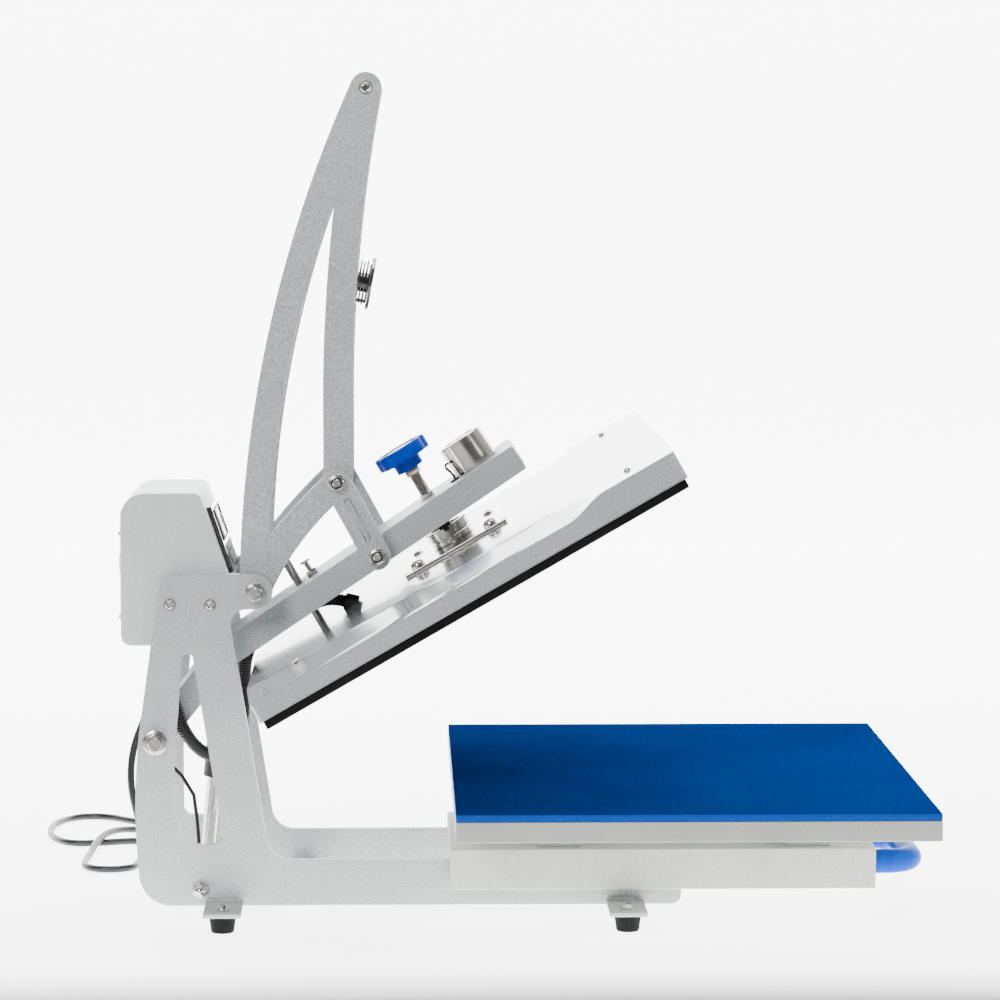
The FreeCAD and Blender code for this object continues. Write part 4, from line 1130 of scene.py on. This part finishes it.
def armature():
    """The disc that the magnet holds, on a stack of thin dark discs, with its bracket; the nut of the bolt behind
    the crossbar is made with the handle's fasteners.
    """
    disc = lathe([(0, -3.3), (22.9, -3.3), (23.5, -2.7), (23.5, -0.6), (22.9, 0), (6.0, 0), (4.6, -1.4),
                  (0, -1.4)], 72)
    finish(disc, "armature_plate", ARMATURE_STEEL, "armature_disc", ARM_FRAME, True)
    bush = [(0, -24.9), (9.0, -24.9), (9.0, -19)]
    for low, high, radius in ((-19, -17.2, 13), (-16, -14.4, 17), (-13.2, -11.4, 20), (-10.4, -8.8, 18.4),
                              (-7.6, -5.8, 20), (-4.8, -3.35, 17.5)):
        bush += [(8.5, low), (radius - 0.5, low), (radius, low + 0.4), (radius, high - 0.4),
                 (radius - 0.5, high)]
        if high < -3.4:
            bush.append((8.5, high))
    bush.append((0, -3.35))
    finish(lathe(bush, 64), "armature_stack", DARK_CHROME, "armature_bush", ARM_FRAME, True)
    bracket = join_shapes(bar((3, 24, 30), (14.5, -12, -31), 0.6), bar((26, 24, 2.4), (-11, -12, -27.4), 0.6))
    finish(bracket, "armature_bracket", DARK_CHROME, "armature_bush", ARM_FRAME)


def handle_fasteners():
    behind = Matrix.Translation((0, 0, -31)) @ Matrix.Rotation(math.pi, 4, "X")
    shapes = [moved(lock_nut(6.2, 0, 7.0, 3.4), ARM_FRAME @ behind)]
    low, high = (Vector(corner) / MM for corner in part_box("handle_grip"))
    x, z = (low.x + high.x) / 2, (low.z + high.z) / 2
    for side in (NEAR, FAR):
        shapes.append(moved(button_head(6, 0, 3.4, 2.6), facing(side, x, z, 69)))
    finish(join_shapes(*shapes), "handle_screws", NICKEL, "handle_fasteners", IN_PLACE, True)


def handle():
    for node in ("handle_plate_near", "handle_plate_far"):
        eased(node, COAT, 0.9, 3)
    eased("handle_crossbar", COAT, 0.9)
    handle_grip()
    armature()
    handle_fasteners()


# ---- upper platen ------------------------------------------------------------------------------

REAR, FRONT, HALF_WIDE = -203, 200, 250
COVER_LOW, BAND, TOP = -38, -23, -14.5
BROW, BLEND = 135, 97


def cover_height(x, y):
    """The cover's top surface: a gentle shoulder up to a crease, filling out to a full-height brow."""
    inward = HALF_WIDE - abs(y)
    shoulder = BAND + (TOP - BAND) * min(inward / 50, 1)
    share = min(max((x - BLEND) / (BROW - BLEND), 0), 1)
    share = share * share * (3 - 2 * share)
    return shoulder + (TOP - shoulder) * share


def platen_cover():
    """The pressed cover: a grid shaped by cover_height, with a skirt, rounded corners and a closed hem."""
    along = [REAR, -198, -190, *range(-150, 51, 50), 85, 92, *range(BLEND, 138, 4), 142, 165, 190, FRONT]
    inward = [0, 9, 18, 28, 38, 45, 49, 50.5, 54, 70, 120, 180]
    across = [-(HALF_WIDE - d) for d in inward] + [0] + [HALF_WIDE - d for d in reversed(inward)]
    bm = bmesh.new()
    bmesh.ops.create_grid(bm, x_segments=len(along) - 1, y_segments=len(across) - 1, size=1)
    for vert in bm.verts:
        x = along[round((vert.co.x + 1) / 2 * (len(along) - 1))]
        y = across[round((vert.co.y + 1) / 2 * (len(across) - 1))]
        vert.co = (x, y, cover_height(x, y))
    for vert in verts_of(bmesh.ops.extrude_edge_only(bm, edges=open_edges(bm))["geom"]):
        vert.co.z = COVER_LOW
    bmesh.ops.recalc_face_normals(bm, faces=bm.faces)
    upright = [e for e in creases(bm, 60) if abs(e.verts[0].co.z - e.verts[1].co.z) > 4]
    bevel(bm, upright, 7, 6)
    bevel(bm, creases(bm, 50), 3.6, 5)
    bmesh.ops.holes_fill(bm, edges=open_edges(bm), sides=0)
    for face in bm.faces:
        face.normal_update()
        if abs(face.normal.z) < 0.55:
            face.material_index = 1
    finish(bm, "cover_pressing", [COVER_PAINT, COAT], "platen_cover", PLATEN_FRAME, True, 32)
    hem_strip = bar((FRONT - REAR - 0.6, 2 * HALF_WIDE - 0.6, 1.1),
                    (REAR + 0.3, -HALF_WIDE + 0.3, COVER_LOW - 1.1), 0.3)
    finish(hem_strip, "cover_hem", ZINC_ROLLED, "platen_mount_plate", PLATEN_FRAME)


def platen_screws():
    """Domed nuts on the near side of the mount plate, button heads on its far side and in the cover."""
    shapes = []
    high = TOP + 3
    dome = [(0, high), (6.3, high), (6.3, high + 1.6), (5.9, high + 3.4), (4.7, high + 5.0),
            (2.8, high + 5.8), (0, high + 6)]
    for x in (-36, 36):
        shapes.append(moved(lathe(dome, 40), Matrix.Translation((x, -54, 0))))
        shapes.append(moved(button_head(5.6, high, high + 2.6, 2.7), Matrix.Translation((x, 54, 0))))
    for x in (-156, 160):
        for y in (-200, 200):
            shapes.append(moved(button_head(3.6, TOP, TOP + 2.4, 1.5), Matrix.Translation((x, y, 0))))
    finish(join_shapes(*shapes), "cover_screws", NICKEL, "platen_screws", PLATEN_FRAME, True)


def guide_rod():
    """A ground rod that stands straight up from the cover."""
    rod = lathe([(0, TOP), (3.9, TOP), (3.9, TOP + 65), (3.2, TOP + 66), (0, TOP + 66)], 36)
    finish(moved(rod, Matrix.Translation((-137, 0, 0))), "guide_rod_ground", POLISHED_ROD, "guide_rod",
           PLATEN_FRAME, True)


def upper_platen():
    platen_cover()
    eased("heat_plate", HEAT_COAT, 0.8)
    eased("insulation_blanket", BLANKET, 1.2)
    eased("platen_mount_plate", NICKEL, 0.5)
    eased("hub_socket", HUB_STEEL, 0.7)
    eased("conduit_top_gland", BLACK_PLASTIC, 0.9)
    platen_screws()
    guide_rod()


# ---- pressure screw ----------------------------------------------------------------------------

KNOB_RADIUS, KNOB_THICK, KNOB_FOOT = 24.5, 12, 71.2
KNOB_LOBES, SCALLOP = 8, 0.085


def pressure_knob():
    """A thick wheel with eight shallow scallops, a wide dish with a pale disc in it, and a neck."""
    bm = bmesh.new()
    bmesh.ops.create_circle(bm, cap_ends=True, segments=144, radius=KNOB_RADIUS)
    for vert in bm.verts:
        wave = 0.5 + 0.5 * math.cos(KNOB_LOBES * math.atan2(vert.co.y, vert.co.x))
        vert.co *= 1 - SCALLOP * (1 - wave ** 0.62)
    top = bmesh.ops.extrude_face_region(bm, geom=bm.faces[:])["geom"]
    bmesh.ops.translate(bm, vec=(0, 0, KNOB_THICK), verts=verts_of(top))
    bmesh.ops.recalc_face_normals(bm, faces=bm.faces)
    bevel(bm, creases(bm, 60), 1.5, 4)
    lid = [f for f in bm.faces if len(f.verts) > 20 and f.normal.z > 0.5]
    bmesh.ops.inset_region(bm, faces=lid, thickness=2.6, depth=0)
    bmesh.ops.inset_region(bm, faces=lid, thickness=2.6, depth=-2.0)
    bmesh.ops.translate(bm, vec=(0, 0, KNOB_FOOT), verts=bm.verts)
    neck = ring_lathe([(5.25, 62), (11.9, 62), (12.5, 62.6), (12.5, 69.4), (14.4, 71.6), (5.25, 71.6)], 48)
    finish(join_shapes(bm, neck), "knob_moulding", BLUE_PLASTIC, "pressure_knob", PRESS_FRAME, True, 45)
    disc = lathe([(0, 80.8), (13.6, 80.8), (13.6, 81.9), (13.0, 82.3), (0, 82.5)], 56)
    finish(disc, "knob_disc", LIGHT_PLASTIC, "pressure_knob", PRESS_FRAME)


def arc_wall(inner, outer, low, high, start, sweep, steps=20):
    """Part of a round wall, from start over sweep degrees."""
    bm = bmesh.new()
    turn = Matrix.Rotation(math.radians(start), 4, "Z")
    section = [(inner, low), (outer, low), (outer, high - 0.6), (outer - 0.6, high), (inner + 0.6, high),
               (inner, high - 0.6)]
    face = bm.faces.new([bm.verts.new(turn @ Vector((radius, 0, height))) for radius, height in section])
    bmesh.ops.spin(bm, geom=[face, *face.edges, *face.verts], cent=(0, 0, 0), axis=(0, 0, 1), dvec=(0, 0, 0),
                   angle=math.radians(sweep), steps=steps, use_duplicate=False)
    bmesh.ops.recalc_face_normals(bm, faces=bm.faces)
    return bm


def pressure_screw():
    """The slotted cup that pushes on the platen, the threaded rod in it with its jam nut, and the knob."""
    cup = lathe([(0, -6.1), (18.4, -6.1), (18.4, -4.8), (19.6, -4.8), (20.2, -4.2), (20.2, 0.5),
                 (0, 0.5)], 72)
    walls = [arc_wall(14.4, 20.2, 0.4, 3.6, start, 76) for start in (7, 97, 187, 277)]
    finish(join_shapes(cup, *walls), "press_cup", HUB_STEEL, "press_hub", PRESS_FRAME, True)
    block = join_shapes(bar((11, 38, 7.2), (-5.5, -19, 0.3), 0.6), bar((38, 11, 2.8), (-19, -5.5, 0.3), 0.5))
    finish(block, "cup_block", BLACK_PLASTIC, "press_hub", PRESS_FRAME)
    rod = join_shapes(thread(5.2, 3, 56.6, 1.25, 0.42, 22), hex_prism(7.6, 56.2, 61.9, 0.5),
                      lathe([(0, 0.8), (5.0, 0.8), (5.0, 3.4), (0, 3.4)], 28),
                      lathe([(0, 61), (5.1, 61), (5.1, 71), (0, 71)], 28))
    finish(rod, "pressure_screw_thread", DARK_STEEL, "pressure_rod", PRESS_FRAME, True, 30)
    pressure_knob()


# ---- drawer ------------------------------------------------------------------------------------

def silicone_pad():
    """A sheet of silicone sponge with eased arrises and sides that bulge and waver a little."""
    low, high = (Vector(corner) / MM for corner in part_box("silicone_pad"))
    long, wide, thick = high - low
    bm = bmesh.new()
    bmesh.ops.create_cube(bm, size=1)
    bmesh.ops.scale(bm, vec=(long - 0.8, wide - 0.8, thick), verts=bm.verts)
    lying = [e for e in bm.edges if abs(e.verts[0].co.z - e.verts[1].co.z) < 1e-3]
    bmesh.ops.subdivide_edges(bm, edges=lying, cuts=63, use_grid_fill=True)
    sides = [e for e in bm.edges if abs(e.verts[0].co.z - e.verts[1].co.z) > 1]
    bmesh.ops.subdivide_edges(bm, edges=sides, cuts=3)
    bmesh.ops.recalc_face_normals(bm, faces=bm.faces)
    bevel(bm, creases(bm, 60), 0.8, 3)
    for vert in bm.verts:
        edge_x = abs(vert.co.x) > long / 2 - 1.5
        edge_y = abs(vert.co.y) > wide / 2 - 1.5
        level = vert.co.z / (thick / 2)
        bulge = 0.35 * (1 - level * level) + 0.12 * noise.noise(vert.co * 0.02)
        if edge_x:
            vert.co.x += math.copysign(bulge, vert.co.x)
        if edge_y:
            vert.co.y += math.copysign(bulge, vert.co.y)
        if level > 0.5 and not (edge_x or edge_y):
            vert.co.z += 0.1 * noise.noise(vert.co * 0.012)
    bmesh.ops.translate(bm, vec=(low + high) / 2, verts=bm.verts)
    for face in bm.faces:
        face.normal_update()
        if abs(face.normal.z) < 0.5:
            face.material_index = 1
    pad = finish(bm, "sponge_pad", [SPONGE, SPONGE_EDGE], "silicone_pad", LEVEL, True, 50)


def drawer_pull():
    """A glossy sleeve over the bent loop, with collars where it enters the drawer."""
    eased("drawer_pull", BLUE_ENAMEL, 0.6)
    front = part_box("drawer_box")[1][0] / MM
    low, high = (Vector(corner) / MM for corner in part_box("drawer_pull"))
    z = (low.z + high.z) / 2
    collars = []
    for y in (-60, 60):
        ring = ring_lathe([(10.5, -0.4), (12.4, -0.4), (12.4, 0.8), (11.6, 1.6), (10.5, 1.6)], 44)
        place = Matrix.Translation((front, y, z)) @ Matrix.Rotation(math.radians(90), 4, "Y")
        collars.append(moved(ring, place))
    finish(join_shapes(*collars), "pull_collars", BLUE_PLASTIC, "drawer_pull")


def drawer():
    eased("drawer_box", PALE_PAINT, 1.1, 3)
    eased("platen_supports", PALE_PAINT, 1.0)
    eased("lower_platen", PALE_PAINT, 0.9, 3)
    silicone_pad()
    drawer_pull()


# ---- gas strut and conduit ---------------------------------------------------------------------

def gas_strut():
    eased("strut_rod", NICKEL, 0.5)
    eased("strut_tube", BLACK_PLASTIC, 0.8)


LOW_HOSE = [
    (-306, -56, 222), (-306, -56, 202), (-301, -55, 180), (-292, -53, 158), (-278, -48, 142),
    (-260, -41, 138), (-248, -32, 152), (-243, -22, 174), (-243, -22, 199),
]
TOP_HOSE = [
    (-243, -22, 199.7), (-243, -22, 217), (-238.5, -21, 233), (-227, -20, 246), (-211, -20, 257.5),
    (-191, -20, 267), (-175, -20, 273.2), (-164, -20, 274.3), (-155.5, -20, 272.4),
]


def hoses():
    """The corrugated conduit: the lower length is baked in place on no body, the upper rides with the platen."""
    for node, route in (("conduit_lower", LOW_HOSE), ("conduit_upper", TOP_HOSE)):
        length = route_length(route, node)
        bm = along_route(ribbed_hose(5.9 * MM, length, 2.4 * MM, 0.9 * MM), route, node)
        bmesh.ops.recalc_face_normals(bm, faces=bm.faces)
        hose = mesh_from(bm, node + "_ribbed")
        hose.polygons.foreach_set("use_smooth", [True] * len(hose.polygons))
        hose.materials.append(BLACK_PLASTIC)
        piece = in_scene(node + "_ribbed", hose)
        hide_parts(node)
        if node == "conduit_lower":
            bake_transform(piece)
        else:
            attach(piece, "upper_platen")


def sensor_cable():
    """A thin cable from the box down inside the frame."""
    route = [(-312, -30, 240), (-311, -30, 224), (-306, -31, 206), (-303, -33, 188), (-307, -36, 170),
             (-313, -39, 152), (-309, -42, 134), (-297, -44, 122), (-287, -46, 106), (-284, -48, 84),
             (-282, -52, 60), (-281, -58, 40)]
    finish(cable(route, 1.75, 14), "sensor_cable", CORD_SKIN, "conduit_low_gland")


base()
control_box()
sensor_cable()
beam()
links()
handle()
upper_platen()
pressure_screw()
drawer()
gas_strut()
hoses()


# ---- floor and light ---------------------------------------------------------------------------

def studio():
    """A pale floor that curves up behind and glows as painted light, more strongly further back, with a darker
    strip in front that does not glow; a sky that is brighter behind; and three large soft lights.
    """
    material, tree, surface, place = blank("studio floor", 0.9, emission_color=(1, 1, 1, 1),
                                           specular_ior_level=0.0)
    parts = add_node(tree, "ShaderNodeSeparateXYZ", {"Vector": place}).outputs
    # Painted light: behind Y = -0.27 m the floor is pale and glows, more strongly further back, lighting the
    # machine from below; in front of Y = -0.4 m it is darker and does not glow.
    near = ramp(tree, parts["Y"], -0.4, -0.27)
    tree.links.new(mixed(tree, near, (0.42, 0.42, 0.42), (0.88, 0.88, 0.88)), surface.inputs["Base Color"])
    glow = maths(tree, "MULTIPLY", near, between(tree, ramp(tree, parts["Y"], -0.3, 1.2), 4.4, 6.8))
    tree.links.new(glow, surface.inputs["Emission Strength"])
    bm = bmesh.new()
    verts = [bm.verts.new(spot) for spot in ((-6, 0, 0), (6, 0, 0))]
    edges = [bm.edges.new(verts)]
    curve, turns = 1.5, [math.radians(a) for a in range(0, 91, 10)]
    steps = [(0, 6, 0), (0, 3.0, 0)]
    steps += [(0, curve * (math.sin(after) - math.sin(before)), curve * (math.cos(before) - math.cos(after)))
              for before, after in zip(turns, turns[1:])]
    steps.append((0, 0, 4))
    bmesh.ops.translate(bm, vec=(0, -6, 0), verts=bm.verts)
    for step in steps:
        grown = bmesh.ops.extrude_edge_only(bm, edges=edges)["geom"]
        bmesh.ops.translate(bm, vec=step, verts=verts_of(grown))
        edges = [e for e in grown if isinstance(e, bmesh.types.BMEdge) and not e.is_wire and e.is_boundary
                 and abs(e.verts[0].co.x - e.verts[1].co.x) > 1]
    mesh = mesh_from(bm, "studio_floor")
    mesh.polygons.foreach_set("use_smooth", [True] * len(mesh.polygons))
    mesh.materials.append(material)
    floor = in_scene("studio_floor", mesh)
    world = bpy.data.worlds.new("studio sky")
    world.use_nodes = True
    tree = world.node_tree
    sky = tree.nodes["Background"]
    way = tree.nodes.new("ShaderNodeTexCoord").outputs["Generated"]
    parts = add_node(tree, "ShaderNodeSeparateXYZ", {"Vector": way}).outputs
    height = ramp(tree, parts["Z"], -0.1, 0.9)
    dark_side = ramp(tree, parts["Y"], 0.1, -0.45)
    tree.links.new(mixed(tree, dark_side, (0.95, 0.97, 1.0), (0.22, 0.22, 0.225)), sky.inputs["Color"])
    tree.links.new(between(tree, height, 0.5, 1.2), sky.inputs["Strength"])
    bpy.context.scene.world = world
    lamps = (("key", (-1.3, -2.6, 1.9), (0, 0, 0.35), 1.0, 92),
             ("fill", (2.6, -2.2, 1.1), (0, 0, 0.3), 0.8, 34),
             ("overhead", (0.2, 0.2, 3.0), (0, 0, 0.3), 1.6, 44))
    for name, spot, aim, size, power in lamps:
        data = bpy.data.lights.new(name, "AREA")
        data.shape = "SQUARE"
        data.size = size
        data.energy = power
        lamp = in_scene(name, data)
        away = Vector(spot) - Vector(aim)
        lamp.matrix_world = Matrix.Translation(spot) @ away.to_track_quat("Z", "Y").to_matrix().to_4x4()


studio()
